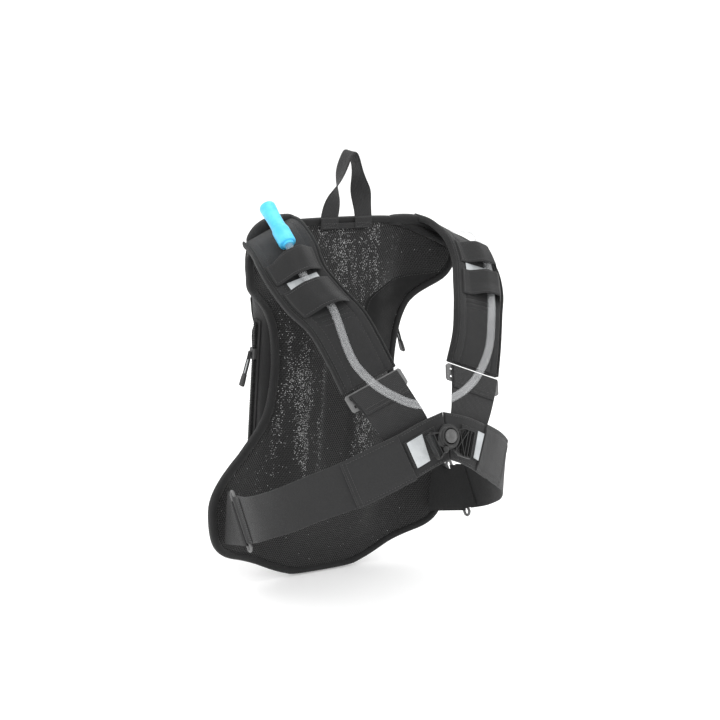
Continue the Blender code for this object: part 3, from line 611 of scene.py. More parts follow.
def air_mesh_material():
    """Knitted 3-D air mesh of shiny filaments: openings with painted shade in them, painted glints on the
    raised pads.
    """
    m = Surface("air_mesh", sheen=0.15, sheen_rough=0.4, specular=0.4)
    v = m.coords(False)
    x, _, z = m.split(v)[:3]
    pitch = 0.0031
    warp = m.noise(v, 60.0, 2.0)
    shift = m.math("MULTIPLY_ADD", warp, 0.9, -0.45)
    a = m.join(m.math("ADD", m.math("DIVIDE", x, pitch), shift),
               m.math("ADD", m.math("DIVIDE", z, pitch), shift))
    half = (0.5, 0.8660254, 0.0)
    low = (-0.5, -0.8660254, -1.0)
    one = m.vector("LENGTH", m.vector("MULTIPLY", m.vector("WRAP", a, (0.5, 0.8660254, 1.0), low), (1, 1, 0)))
    two = m.vector("LENGTH", m.vector("MULTIPLY", m.vector("WRAP", m.vector("ADD", a, half),
                                                          (0.5, 0.8660254, 1.0), low), (1, 1, 0)))
    near = m.math("MINIMUM", one, two)
    hole = m.step(near, 0.24, 0.42, 1.0, 0.0)
    # Painted glints: pale specks painted into the colour, in streaks over the raised side pads and the
    # shoulder pad.
    side = m.math("ABSOLUTE", x)
    pad = m.math("MULTIPLY", m.step(side, 0.018, 0.028), m.step(side, 0.055, 0.112, 1.0, 0.0))
    pad_height = m.math("MULTIPLY", m.step(z, -0.350, -0.300), m.step(z, -0.150, -0.085, 1.0, 0.0))
    pad = m.math("MULTIPLY", pad, pad_height)
    top = m.math("MULTIPLY", m.step(side, 0.035, 0.085, 1.0, 0.0), m.step(z, -0.112, -0.085))
    painted_glint_area = m.math("MAXIMUM", pad, m.math("MULTIPLY", top, 0.75))
    streak = m.noise(m.vector("MULTIPLY", v, (38.0, 1.0, 7.0)), 1.0, 3.0, 0.6)
    painted_glint_area = m.math("MULTIPLY", painted_glint_area, m.step(streak, 0.44, 0.64, 0.04, 1.0))
    grain = m.white(m.vector("FLOOR", m.vector("MULTIPLY", v, (1250.0, 0.0, 1250.0))))
    painted_glint = m.math("GREATER_THAN", grain, m.math("MULTIPLY_ADD", painted_glint_area, -0.20, 0.9990))
    fibre = m.noise(v, 1500.0, 2.0, 0.6)
    thread = m.blend(m.step(fibre, 0.3, 0.7), grey(0.005), grey(0.018))
    # The openings are painted near-black, darker than the threads, as painted shade inside the holes.
    cloth = m.blend(hole, thread, grey(0.0015))
    # Colour of the painted glints, mixed over the cloth where the glint mask is set.
    painted_glint_colour = m.blend(m.step(fibre, 0.35, 0.65), grey(0.08), grey(0.62))
    shown = m.math("MULTIPLY", painted_glint, m.math("SUBTRACT", 1.0, m.math("MULTIPLY", hole, 0.4)))
    m.color(m.blend(shown, cloth, painted_glint_colour))
    m.rough(m.step(fibre, 0.3, 0.7, 0.55, 0.85))
    m.normal(m.bump(m.math("SUBTRACT", m.math("MULTIPLY", fibre, 0.25), hole), 0.0009, 0.9))
    return m.mat


def moulded(name, value, rough, tint=(1, 1, 1), specular=0.5, coat=0.0, grain=0.00008, wear=0.35):
    """Moulded plastic: fine spark texture, faint flow marks and paler patches at random."""
    m = Surface(name, specular=specular, coat=coat, coat_rough=0.25)
    v = m.coords(False)
    drift = m.noise(v, 70.0, 4.0, 0.6)
    fine = m.noise(v, 2600.0, 2.0, 0.5)
    rub = m.noise(v, 300.0, 4.0, 0.7)
    shade = m.math("MULTIPLY_ADD", drift, 0.6, m.math("MULTIPLY", rub, wear))
    m.color(m.blend(m.step(shade, 0.2, 0.8), grey(value * 0.8, tint), grey(value * 1.25, tint)))
    m.rough(m.step(m.math("MULTIPLY_ADD", rub, 0.5, m.math("MULTIPLY", fine, 0.5)), 0.3, 0.7, rough - 0.08,
                   rough + 0.1))
    m.normal(m.bump(fine, grain, 0.8, m.bump(rub, 0.00006, 0.5)))
    return m.mat


def reflective_material():
    """Reflective tape: silver-grey glass bead film with a fine diamond emboss and light scuffs."""
    m = Surface("reflective_tape", metallic=0.15, specular=0.6, coat=0.15, coat_rough=0.3)
    v = m.coords(True)
    x, y = m.split(v)[:2]
    diamond = math.pi / 0.0022
    grids = [m.math("ABSOLUTE", m.math("SINE", m.math("MULTIPLY", m.math(op, x, y), diamond)))
             for op in ("ADD", "SUBTRACT")]
    line = m.step(m.math("MINIMUM", *grids), 0.05, 0.25, 1.0, 0.0)
    place_v = m.coords(False)
    scuff = m.noise(place_v, 260.0, 5.0, 0.7)
    cloud = m.noise(place_v, 60.0, 3.0, 0.6)
    base = m.blend(m.step(cloud, 0.3, 0.7), (0.40, 0.42, 0.43), (0.52, 0.54, 0.55))
    base = m.blend(m.math("MULTIPLY", line, 0.35), base, (0.30, 0.32, 0.33))
    m.color(m.blend(m.step(scuff, 0.62, 0.74), base, (0.26, 0.27, 0.28)))
    m.rough(m.step(scuff, 0.3, 0.7, 0.3, 0.5))
    m.normal(m.bump(line, 0.00015, 0.6))
    return m.mat


def clear_material(name, tint, rough, weight=0.9, ior=1.42):
    m = Surface(name, rough=rough, transmission=weight, ior=ior, specular=0.5)
    v = m.coords(False)
    haze = m.noise(v, 120.0, 4.0, 0.6)
    m.color(m.blend(m.step(haze, 0.3, 0.7), tint, tuple(c * 0.93 for c in tint)))
    m.rough(m.step(haze, 0.45, 0.8, rough + 0.015, rough + 0.09))
    m.normal(m.bump(m.noise(v, 120.0, 2.0), 0.000004, 0.2))
    return m.mat


def hose_material():
    """Clear soft hose: you see through each wall's middle; it has real gloss, and its edges turn opaque pale
    grey as painted reflection.
    """
    m = Surface("clear_hose", specular=0.6, ior=1.45, rough=0.1)
    v = m.coords(False)
    haze = m.noise(v, 150.0, 3.0, 0.6)
    m.color(m.blend(m.step(haze, 0.3, 0.7), (0.56, 0.57, 0.58), (0.70, 0.71, 0.72)))
    m.rough(m.step(haze, 0.3, 0.7, 0.06, 0.16))
    tree = m.mat.node_tree
    edge = tree.nodes.new("ShaderNodeLayerWeight")
    edge.inputs["Blend"].default_value = 0.4
    # Painted reflection: the wall turns more opaque and pale grey towards its edges, standing in for
    # reflections at glancing angles.
    rim = m.math("POWER", edge.outputs["Facing"], 2.0)
    tree.links.new(m.math("MULTIPLY_ADD", rim, 0.36, 0.09), m.bsdf.inputs["Alpha"])
    m.normal(m.bump(haze, 0.000004, 0.2))
    return m.mat


def silicone_material(name, low, high, rough=0.34):
    m = Surface(name, specular=0.45, subsurface=0.25, coat=0.1, coat_rough=0.3)
    m.bsdf.inputs["Subsurface Radius"].default_value = (0.6, 1.0, 1.2)
    m.bsdf.inputs["Subsurface Scale"].default_value = 0.004
    v = m.coords(False)
    cloud = m.noise(v, 90.0, 3.0, 0.5)
    dust = m.noise(v, 1400.0, 3.0, 0.6)
    m.color(m.blend(m.step(cloud, 0.3, 0.7), low, high))
    m.rough(m.step(dust, 0.3, 0.7, rough - 0.06, rough + 0.1))
    m.normal(m.bump(dust, 0.00006, 0.6))
    return m.mat


def thread_material():
    m = Surface("sewing_thread", sheen=0.3, specular=0.4)
    v = m.coords(False)
    twist = m.noise(v, 3500.0, 2.0)
    m.color(m.blend(m.step(twist, 0.3, 0.7), grey(0.018), grey(0.055)))
    m.rough(m.step(twist, 0.3, 0.7, 0.6, 0.8))
    m.normal(m.bump(twist, 0.0001, 0.6))
    return m.mat


MAT = {}


def make_materials():
    MAT["mesh"] = air_mesh_material()
    MAT["shell"] = woven("shell_nylon", 0.006, 0.017, 0.0008, uv=False, rough=0.8, sheen=0.1, wrinkle=0.0025)
    MAT["strap"] = woven("strap_cloth", 0.009, 0.023, 0.0009, kind="twill", rough=0.84, sheen=0.12,
                         wrinkle=0.0006)
    MAT["pad"] = woven("pad_cloth", 0.010, 0.024, 0.0007, uv=False, rough=0.84, sheen=0.12, wrinkle=0.0008)
    # The armhole facing is darker than the other cloths: partly its own dark cloth, partly painted shade for
    # the armhole, which gets less light.
    MAT["facing"] = woven("facing_cloth", 0.0035, 0.009, 0.0007, uv=False, rough=0.88, sheen=0.04)
    MAT["binding"] = woven("binding_tape", 0.005, 0.014, 0.0010, kind="cross", rough=0.8, sheen=0.1)
    MAT["elastic"] = woven("elastic_cloth", 0.009, 0.021, 0.0011, kind="cross", rough=0.86, sheen=0.12)
    MAT["belt"] = woven("belt_cloth", 0.013, 0.027, 0.0011, kind="cross", rough=0.85, sheen=0.14)
    MAT["webbing"] = woven("webbing", 0.008, 0.024, 0.0018, kind="rib", rough=0.76, sheen=0.1, specular=0.4)
    MAT["plastic"] = moulded("buckle_nylon", 0.011, 0.36)
    MAT["button"] = moulded("button_nylon", 0.075, 0.32, coat=0.15)
    MAT["slider"] = moulded("slider_acetal", 0.13, 0.38)
    MAT["reflective"] = reflective_material()
    MAT["tube"] = hose_material()
    MAT["blue"] = silicone_material("blue_silicone", (0.075, 0.52, 0.88), (0.12, 0.62, 0.95))
    MAT["film"] = clear_material("bladder_film", (0.55, 0.75, 0.9), 0.12, 0.6)
    MAT["coil"] = moulded("zip_coil", 0.018, 0.4)
    MAT["metal"] = moulded("zip_metal", 0.05, 0.36, coat=0.2)
    MAT["metal"].node_tree.nodes["Principled BSDF"].inputs["Metallic"].default_value = 0.6
    MAT["thread"] = thread_material()


# ---- back panel -----------------------------------------------------------------------------------

PANEL_ROWS = [(4, 34), (8, 54), (16, 74), (27, 97), (36, 118), (46, 142), (58, 156), (76, 163), (104, 166),
              (122, 162), (138, 152), (152, 138), (166, 121), (188, 100), (216, 87), (262, 82), (306, 86),
              (332, 95), (346, 106), (358, 120), (370, 134), (384, 143), (396, 146), (405, 143), (414, 128),
              (424, 106), (432, 84), (438, 58)]
PANEL_THICK = 10.0


def panel_y(x, z):
    """Front face of the back panel: flat padded middle, wings and yoke curving forward."""
    x = abs(x)
    bulge = smooth((82 - x) / 40) * smooth((z - 20) / 60) * smooth((432 - z) / 60)
    wing = smooth((x - 90) / 78) * smooth((210 - z) / 50)
    yoke = smooth((x - 82) / 64) * smooth((z - 318) / 60)
    return -10.0 * bulge - 16.0 * wing - 24.0 * yoke


def pad_relief(x, z):
    """Height of the moulded pads over the panel: two long lumbar pads and one across the shoulders."""
    side = abs(x)
    low = smooth((side - 16) / 9) * smooth((100 - side) / 34) * smooth((z - 70) / 45) * smooth((352 - z) / 26)
    top = smooth((84 - side) / 26) * smooth((z - 336) / 26) * smooth((436 - z) / 14)
    return 3.2 * max(low, top)


def slim(x, z):
    """The wearer's right shoulder corner is drawn in a little under its strap."""
    return x if x > 0 else x * (1 - 0.065 * smooth((z - 360) / 30) * smooth((436 - z) / 16))


def panel_loop(step):
    """Closed outline of the panel as smooth even points (x, 0, z)."""
    right = [Vector((w, 0, z)) for z, w in PANEL_ROWS]
    left = [Vector((slim(-w, z), 0, z)) for z, w in reversed(PANEL_ROWS)]
    return even_line(right + left, step, cyclic=True)


def inset_loop(loop, inset):
    out = []
    n = len(loop)
    for i, p in enumerate(loop):
        t = (loop[(i + 2) % n] - loop[i - 2]).normalized()
        out.append(p + Vector((-t.z, 0, t.x)) * inset)
    return out


def panel_rows(inset):
    edge = [Vector((0, PANEL_ROWS[0][0]))] + [Vector((w, z)) for z, w in PANEL_ROWS]
    edge.append(Vector((0, PANEL_ROWS[-1][0] + 1)))
    rows = []
    for i in range(1, len(edge) - 1):
        along = (edge[i + 1] - edge[i - 1]).normalized()
        moved = edge[i] + Vector((-along.y, along.x)) * inset
        rows.append((moved.y, moved.x))
    return rows


def row_width(rows, z):
    """Half width of the inset outline at a height."""
    if z <= rows[0][0]:
        return rows[0][1]
    for (z0, w0), (z1, w1) in zip(rows, rows[1:]):
        if z <= z1:
            return w0 + (w1 - w0) * (z - z0) / max(z1 - z0, 1e-6)
    return rows[-1][1]


def panel_face(x, z):
    """Front surface of the air mesh, with soft ripples where the knit is stretched over the foam."""
    slow = noise.noise(Vector((x * 0.03, 3.1, z * 0.018)))
    quick = noise.noise(Vector((x * 0.09, 9.0, z * 0.07)))
    return panel_y(x, z) + 1.6 - pad_relief(x, z) + 0.8 * (0.5 * slow + 0.25 * quick)


def build_panel():
    columns = 64
    low, high = [], []
    for z, w in catmull_rows(panel_rows(3.2), 4):
        xs = [w * (0.35 * math.sin(0.5 * math.pi * (2 * j / columns - 1)) + 0.65 * (2 * j / columns - 1))
              for j in range(columns + 1)]
        fade = [smooth((w - abs(x)) / 9.0) for x in xs]
        high.append([Vector((slim(x, z), panel_face(x, z) * f + (panel_y(x, z) + 3.0) * (1 - f), z))
                     for x, f in zip(xs, fade)])
        low.append([Vector((slim(x, z), panel_y(x, z) + PANEL_THICK - 0.5, z)) for x in xs])
    mesh = sheet_solid("back_air_mesh", low, high, MAT["mesh"], sharp=60)
    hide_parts("back_panel_mesh", "back_panel_foam")

    loop = panel_loop(5.0)
    points = [Vector((p.x, panel_y(p.x, p.z) + 0.5 * PANEL_THICK, p.z)) for p in loop]
    n = len(points)
    outs = []
    for i in range(n):
        t = points[(i + 1) % n] - points[i - 1]
        outs.append(Vector((t.z, 0, -t.x)).normalized())
    profile = ellipse(4.4, 5.8, 20, 2.6)
    binding = sweep("panel_edge_binding", points, profile, lambda i, along: outs[i], MAT["binding"],
                    cyclic=True)
    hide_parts("panel_binding")
    line = inset_loop(loop, 7.2)
    pts = [Vector((p.x, panel_y(p.x, p.z) + 2.4, p.z)) for p in line + line[:1]]
    stitch_line("panel_edge_stitch", pts, [Vector((0, -1, 0))] * len(pts), pitch=4.2, radius=0.45)


def catmull_rows(rows, parts):
    pts = [Vector((w, 0, z)) for z, w in rows]
    out = []
    for i in range((len(pts) - 1) * parts + 1):
        p = catmull(pts, i / parts)
        out.append((p.z, p.x))
    return out


PATCH_INNER = [(62, 250), (42, 276), (29, 304), (27, 328), (38, 349), (62, 362), (96, 369), (128, 375)]
PATCH_OUTER = [(74.5, 262), (75.5, 285), (78, 306), (84, 326), (92, 341), (104, 353), (115, 362), (127, 371)]


def build_armhole_facing():
    """Smooth cloth that faces the wearer's left armhole, with a stitched curved seam."""
    a = [Vector((x, 0, z)) for x, z in PATCH_INNER]
    b = [Vector((x, 0, z)) for x, z in PATCH_OUTER]
    rows, lows = [], []
    for i in range(57):
        p, q = catmull(a, i / 8), catmull(b, i / 8)
        row, low = [], []
        for j in range(17):
            u = j / 16
            v = p.lerp(q, u)
            y = min(panel_face(v.x, v.z), panel_y(v.x, v.z) + 3.0)
            lift = 0.9 * smooth(u * 14) * smooth(min(i, 56 - i) / 2) - 0.25
            row.append(Vector((v.x, y - lift - 0.3, v.z)))
            low.append(Vector((v.x, y + 0.8, v.z)))
        rows.append(row)
        lows.append(low)
    patch = sheet_solid("armhole_facing_left", lows, rows, MAT["facing"])
    seam = [catmull(a, i / 12).lerp(catmull(b, i / 12), 0.06) for i in range(4, 84)]
    pts = [Vector((p.x, panel_face(p.x, p.z) - 1.1, p.z)) for p in seam]
    stitch_line("armhole_facing_stitch_left", pts, [Vector((0, -1, 0))] * len(pts))


# ---- bag ------------------------------------------------------------------------------------------

BAG_RIM_Y = 12.6
BAG_RIM = [(0, 34), (50, 36), (82, 52), (93, 96), (94, 150), (94, 240), (94, 318), (99, 352), (104, 385),
           (97, 412), (70, 426), (35, 430), (0, 431)]


def bag_depth(z):
    return 30.0 + 20.0 * smooth((z - 215) / 130)


def bag_loop(count):
    half = [Vector((x, 0, z)) for x, z in BAG_RIM]
    loop = half + [Vector((-p.x, 0, p.z)) for p in reversed(half[1:-1])]
    around = sum((b - a).length for a, b in zip(loop, loop[1:] + loop[:1]))
    return even_line(loop, around / count, cyclic=True)


# The bag's rings from its rim to its back face: inset, share of the depth, share of the way in to the spine.
BAG_STEPS = [(0.0, 0.0, 0.0), (0.2, 0.2, 0.0), (0.3, 0.42, 0.0), (1.2, 0.62, 0.0), (3.5, 0.79, 0.0),
             (8.0, 0.90, 0.0), (14, 0.96, 0.0), (20, 0.99, 0.03)]
BAG_STEPS += [(22, 1.0, f) for f in (0.12, 0.23, 0.35, 0.47, 0.59, 0.71, 0.83, 0.94)]
BAG_COLUMNS, BAG_WALL = 150, 0.0022
PINNED_RINGS, SEAM_RING, SEAM_PIN = 3, 6, 0.25
MOST_MOVE = 0.009  # metres that the cloth may leave its frame


def bag_grid(count):
    """Rings of points from the panel's edge over the gusset to the middle of the bag's back face."""
    loop = bag_loop(count)
    n = len(loop)
    edge_rows = panel_rows(2.0)
    first = []
    for p in loop:
        x = min(abs(p.x), row_width(edge_rows, p.z) if 0.0 < p.z < 436.0 else abs(p.x))
        first.append(Vector((math.copysign(x, p.x), panel_y(x, p.z) + 8.0, p.z)))
    rings = [first]
    for inset, fraction, inward in BAG_STEPS:
        ring = []
        for i, p in enumerate(loop):
            t = (loop[(i + 1) % n] - loop[i - 1]).normalized()
            q = p + Vector((-t.z, 0, t.x)) * inset
            spine = Vector((0, 0, min(max(q.z, 120.0), 345.0)))
            q = q.lerp(spine, inward)
            q.y = BAG_RIM_Y + bag_depth(q.z) * fraction
            ring.append(q)
        rings.append(ring)
    return rings


def near_zip(p):
    return abs(p.y - 29.0) < 13 and 128 < p.z < 330 and abs(p.x) > 80


def simulate_bag(obj, pins):
    """Lets the cloth fill and crease: it is cut a little larger than its frame and pushed out from inside."""
    group = obj.vertex_groups.new(name="held")
    for index, weight in pins.items():
        group.add([index], weight, "REPLACE")
    cloth = obj.modifiers.new("cloth", "CLOTH")
    settings = cloth.settings
    settings.quality = 6
    settings.mass = 0.25
    settings.tension_stiffness = 18
    settings.compression_stiffness = 12
    settings.shear_stiffness = 6
    settings.bending_stiffness = 1.2
    settings.shrink_min = -0.035
    settings.use_pressure = True
    settings.uniform_pressure_force = 2.2
    settings.vertex_group_mass = "held"
    settings.pin_stiffness = 1.0
    settings.effector_weights.gravity = 0.15
    scene = bpy.context.scene
    for f in range(1, 22):
        scene.frame_set(f)
    graph = bpy.context.evaluated_depsgraph_get()
    moved = [v.co.copy() for v in obj.evaluated_get(graph).to_mesh().vertices]
    rest = [v.co.copy() for v in obj.data.vertices]
    obj.modifiers.clear()
    for v, new, old in zip(obj.data.vertices, moved, rest):
        step = new - old
        if step.length > MOST_MOVE:
            step = step.normalized() * MOST_MOVE
        v.co = old + step
    scene.frame_set(1)


def build_bag():
    rings = bag_grid(BAG_COLUMNS)
    n = len(rings[0])
    verts = [p for ring in rings for p in ring]
    faces = ring_faces(len(rings), n)
    last = (len(rings) - 1) * n
    for i in range(n // 2):
        row = [last + i, last + i + 1, last + (n - i - 1) % n, last + (n - i) % n]
        faces.append(tuple(dict.fromkeys(row)))
    mesh = bpy.data.meshes.new("bag_cloth")
    mesh.from_pydata([place(v) for v in verts], [], faces)
    bm = bmesh.new()
    bm.from_mesh(mesh)
    bmesh.ops.recalc_face_normals(bm, faces=bm.faces)
    if sum(f.normal.y for f in bm.faces) < 0:
        bmesh.ops.reverse_faces(bm, faces=bm.faces)
    for f in bm.faces:
        f.smooth = True
    bm.to_mesh(mesh)
    bm.free()
    obj = new_object("bag_cloth", mesh)
    mesh.materials.append(MAT["shell"])
    pins = {}
    for i, v in enumerate(mesh.vertices):
        p = v.co / MM + ORIGIN
        if i < PINNED_RINGS * n or near_zip(p):
            pins[i] = 1.0
        elif SEAM_RING * n <= i < (SEAM_RING + 1) * n:
            pins[i] = SEAM_PIN
    simulate_bag(obj, pins)
    seam = [obj.data.vertices[SEAM_RING * n + i].co.copy() for i in range(n)]
    solid = obj.modifiers.new("wall", "SOLIDIFY")
    solid.thickness = BAG_WALL
    solid.offset = -1.0
    sub = obj.modifiers.new("soft", "SUBSURF")
    sub.levels = sub.render_levels = 1
    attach(obj, PACK)
    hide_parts("bag_shell")
    build_bag_seam(seam)


def build_bag_seam(seam):
    """Piping round the back face, on the line where the gusset meets the back panel of the bag."""
    points = [Vector(p) / MM + ORIGIN for p in seam]
    centre = sum(points, Vector()) / len(points)
    piping = sweep("bag_piping", [p + (p - centre).normalized() * 0.6 for p in points], ellipse(1.7, 1.7, 10),
                   lambda i, along: Vector((0, 1, 0)), MAT["binding"], cyclic=True)


# ---- haul loop ------------------------------------------------------------------------------------

LOOP_Y = -2.0
LOOP_PATH = [(-23.5, LOOP_Y, 444.3), (-21, LOOP_Y, 458), (-16.5, LOOP_Y, 478), (-11, LOOP_Y, 500),
             (-4.8, LOOP_Y, 516.5), (0, LOOP_Y, 521.5), (4.8, LOOP_Y, 516.5), (11, LOOP_Y, 500),
             (16.5, LOOP_Y, 478), (21, LOOP_Y, 458), (23.5, LOOP_Y, 444.3)]


def build_haul_loop():
    path = even_line(LOOP_PATH, 2.2)
    low, high = [], []
    last = len(path) - 1
    for i, p in enumerate(path):
        a, b = path[max(i - 1, 0)], path[min(i + 1, last)]
        along = (b - a).normalized() if 0 < i < last else Vector((0, 0, 1 if i == 0 else -1))
        turn = smooth((p.z - 446) / 62)
        side = 1 if p.x > 0 else -1
        across = (Vector((side, 0, 0)) * (1 - turn) + Vector((0, -1, 0)) * turn).normalized()
        across = (across - along * across.dot(along)).normalized()
        normal = along.cross(across).normalized()
        lo, hi = [], []
        for j in range(13):
            w = 2 * j / 12 - 1
            edge = 0.75 * math.sqrt(max(0.0, 1 - max(0.0, (abs(w) - 0.9) / 0.1) ** 2)) + 0.04
            cup = 0.5 * (1 - w * w) * turn
            lo.append(p + across * (w * 12) + normal * (cup - edge))
            hi.append(p + across * (w * 12) + normal * (cup + edge))
        low.append(lo)
        high.append(hi)
    loop = sheet_solid("grab_loop", low, high, MAT["webbing"], body="haul_loop")
    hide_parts("haul_loop")
    foot = Ribbon([(-35.5, LOOP_Y, 430), (0, LOOP_Y, 430), (35.5, LOOP_Y, 430)],
                  [(-35.5, LOOP_Y, 437), (0, LOOP_Y, 437), (35.5, LOOP_Y, 437)], (0, -1, 0))
    bar = ribbon_piece("loop_bar", foot, (0, 2), (0, 1), (40, 8), -1.0, 1.0, MAT["webbing"], round_edge=1.0,
                       round_ends=0.03)
    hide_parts("loop_anchor")
    for name, x0 in (("left", 11.5), ("right", -35.5)):
        leg = Ribbon([(x0, LOOP_Y, 430.5), (x0, LOOP_Y, 437), (x0, LOOP_Y, 443.0)],
                     [(x0 + 24, LOOP_Y, 430.5), (x0 + 24, LOOP_Y, 437), (x0 + 24, LOOP_Y, 443.0)], (0, -1, 0))
        piece = ribbon_piece("loop_foot_" + name, leg, (0, 2), (0, 1), (16, 10), 0.5, 2.0, MAT["webbing"],
                             round_edge=0.8)
        path = [(0.25, 0.1), (0.25, 0.9), (1.0, 0.9), (0.25, 0.1), (1.0, 0.1), (1.0, 0.9)]
        ribbon_stitch("loop_stitch_" + name, leg, path, 2.0, pitch=2.6, radius=0.4)


# ---- shoulder straps ------------------------------------------------------------------------------

STRAP_INNER = [(70, 6, 445.6), (78, -30, 446), (84, -70, 432), (87, -98, 410), (78, -123, 390),
               (64, -148, 368), (52, -166, 340), (38, -177, 310)]
STRAP_OUTER = [(143, -14, 421), (150, -45, 417), (156, -74, 407), (155, -100, 391), (146, -124, 370),
               (130, -146, 350), (116, -166, 318), (104, -181, 287)]
WEB_INNER = [(37, -179, 306), (27, -196, 284), (17, -211, 262), (9, -216, 244)]
WEB_OUTER = [(101, -183, 283), (86, -198, 262), (71, -209, 240), (62, -210, 226)]
UPPER_BAND, LOWER_BAND = (2.2, 3.12), (3.46, 4.55)
BAND_U = (0.10, 0.94)
TUCKS = (4.68, 4.86, 5.02)
TUBE_RADIUS, TUBE_BORE, TUBE_LIFT = 4.5, 3.15, 5.7
TUBE_U = {"left": 0.66, "right": 0.47}
STRAP_INNER_LEFT = [(104, 6, 441), (106, -30, 440), (101, -68, 430.5), (93, -98, 410), (79, -123, 390),
                    (64, -148, 368), (52, -166, 340), (38, -177, 310)]


def on_side(side, points):
    return points if side == "left" else mirrored(points)


def strap_ribbon(side):
    inner = STRAP_INNER_LEFT if side == "left" else mirrored(STRAP_INNER)
    return Ribbon(inner, on_side(side, STRAP_OUTER), (0, -0.6, 0.8))


def web_ribbon(side):
    return Ribbon(on_side(side, WEB_INNER), on_side(side, WEB_OUTER), (0, -0.8, 0.5))


def tube_lift(side, s):
    return TUBE_LIFT if side == "left" else TUBE_LIFT + 3.4 * smooth((3.0 - s) / 0.75)


def strap_thick(s):
    return 3.4 + 4.6 * smooth(s / 1.6)


def build_strap(side):
    strap = strap_ribbon(side)

    def low(s, u):
        d = min(u, 1 - u) * strap.width(s)
        return -strap_thick(s) - 0.8 * smooth(d / 10)

    def high(s, u):
        d = min(u, 1 - u) * strap.width(s)
        seam = math.exp(-((d - 12.5) / 1.5) ** 2) * smooth(s / 0.4)
        wave = noise.noise(Vector((s * 1.3, u * 2.2, 1.7 if side == "left" else 5.1)))
        tuck = sum(math.exp(-((s - t) / 0.035) ** 2) for t in TUCKS) * smooth((d - 11) / 2)
        return -0.35 - 0.9 * seam - 0.9 * tuck + 0.3 * wave - 0.7 * (1 - smooth(d / 5))

    pad = ribbon_piece("strap_pad_" + side, strap, (0.0, 7.0), (0.0, 1.0), (150, 40), low, high, MAT["strap"],
                       round_edge=4.0)
    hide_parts("shoulder_pad_" + side)
    stations = [7.0 * i / 120 for i in range(121)]
    outs = [(strap.point(s, 1.0) - strap.point(s, 0.0)).normalized() for s in stations]
    for name, u in (("inner", 0.0), ("outer", 1.0)):
        points = [strap.off(s, u, -0.5 * strap_thick(s)) for s in stations]
        tape = sweep("strap_edge_%s_%s" % (name, side), points, ellipse(2.0, 4.1, 14, 2.4),
                     lambda i, along: outs[i], MAT["binding"])
        for k, d in enumerate((3.6, 12.5)):
            path = []
            for i in range(60):
                s = 0.35 + 6.5 * i / 59
                w = d / strap.width(s)
                path.append((s, w if u == 0.0 else 1 - w))
            ribbon_stitch("strap_stitch_%s_%d_%s" % (name, k, side), strap, path,
                          lambda s, v: high(s, v) + 0.05)
    for k, s in enumerate(TUCKS):
        ribbon_stitch("strap_tuck_%d_%s" % (k, side), strap, [(s, 0.25), (s, 0.5), (s, 0.75)],
                      lambda s, v: high(s, v) + 0.05, pitch=2.8)
    end = [strap.off(6.97, i / 20, -0.5 * strap_thick(7)) for i in range(21)]
    tape = sweep("strap_end_" + side, end, ellipse(1.8, 4.6, 12, 2.4),
                 lambda i, along: (strap.point(7, 0.5) - strap.point(6.8, 0.5)).normalized(), MAT["binding"])
    build_bands(side, strap)
    build_webbing(side)


def build_bands(side, strap):
    def bump(s, u):
        across = (u - TUBE_U[side]) * strap.width(s)
        mouth = 1.6 * smooth((s - 4.0) / 0.5)
        reach, fall = (19.0, 13.0) if side == "left" and across > 0 else (29.0, 23.0)
        crown = smooth((reach - abs(across)) / fall) ** 0.8
        return 0.3 + (tube_lift(side, s) + TUBE_RADIUS + mouth) * crown

    def bump_top(s, u):
        return bump(s, u) + 1.4

    for name, (s0, s1) in (("upper", UPPER_BAND), ("lower", LOWER_BAND)):
        band = ribbon_piece("%s_band_%s" % (name, side), strap, (s0, s1), BAND_U, (26, 56), bump, bump_top,
                            MAT["elastic"], round_edge=1.0, round_ends=0.05)
        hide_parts("strap_band_%s_%s" % (name, side))
        for k, s in enumerate((s0 + 0.09, s1 - 0.09)):
            path = [(s, BAND_U[0] + 0.02 + (BAND_U[1] - BAND_U[0] - 0.04) * i / 30) for i in range(31)]
            ribbon_stitch("%s_band_hem_%d_%s" % (name, k, side), strap, path, bump_top,
                          pitch=2.8, radius=0.3)
        for k, u in enumerate((BAND_U[0] + 0.03, BAND_U[1] - 0.03)):
            path = [(s0 + 0.05 + (s1 - s0 - 0.1) * i / 10, u) for i in range(11)]
            ribbon_stitch("%s_band_side_%d_%s" % (name, k, side), strap, path, bump_top,
                          pitch=2.4, radius=0.36)
    strip = ribbon_piece("silver_strip_" + side, strap, (UPPER_BAND[1] + 0.02, LOWER_BAND[0] - 0.02),
                         (0.20, 0.76), (10, 20), 0.1, 0.65, MAT["reflective"], round_edge=0.3)
    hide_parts("reflective_strip_" + side)


def build_webbing(side):
    web = web_ribbon(side)

    def sag(s, u):
        return 0.15 * noise.noise(Vector((s * 1.8, u * 1.4, 2.0 if side == "left" else 7.0)))

    lower = ribbon_piece("lower_webbing_" + side, web, (0.0, 3.0), (0.0, 1.0), (60, 28), sag,
                         lambda s, u: 1.6 + sag(s, u), MAT["webbing"], round_edge=0.8)
    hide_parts("strap_webbing_" + side)
    fold = ribbon_piece("webbing_fold_" + side, web, (0.02, 0.95), (0.02, 0.98), (24, 24), 1.8, 3.2,
                        MAT["webbing"], round_edge=0.7, round_ends=0.05)
    for k, s in enumerate((0.72, 0.86)):
        ribbon_stitch("webbing_fold_stitch_%d_%s" % (k, side), web, [(s, 0.05), (s, 0.95)], 3.2,
                      pitch=2.4, radius=0.38)


# ---- hip belt -------------------------------------------------------------------------------------

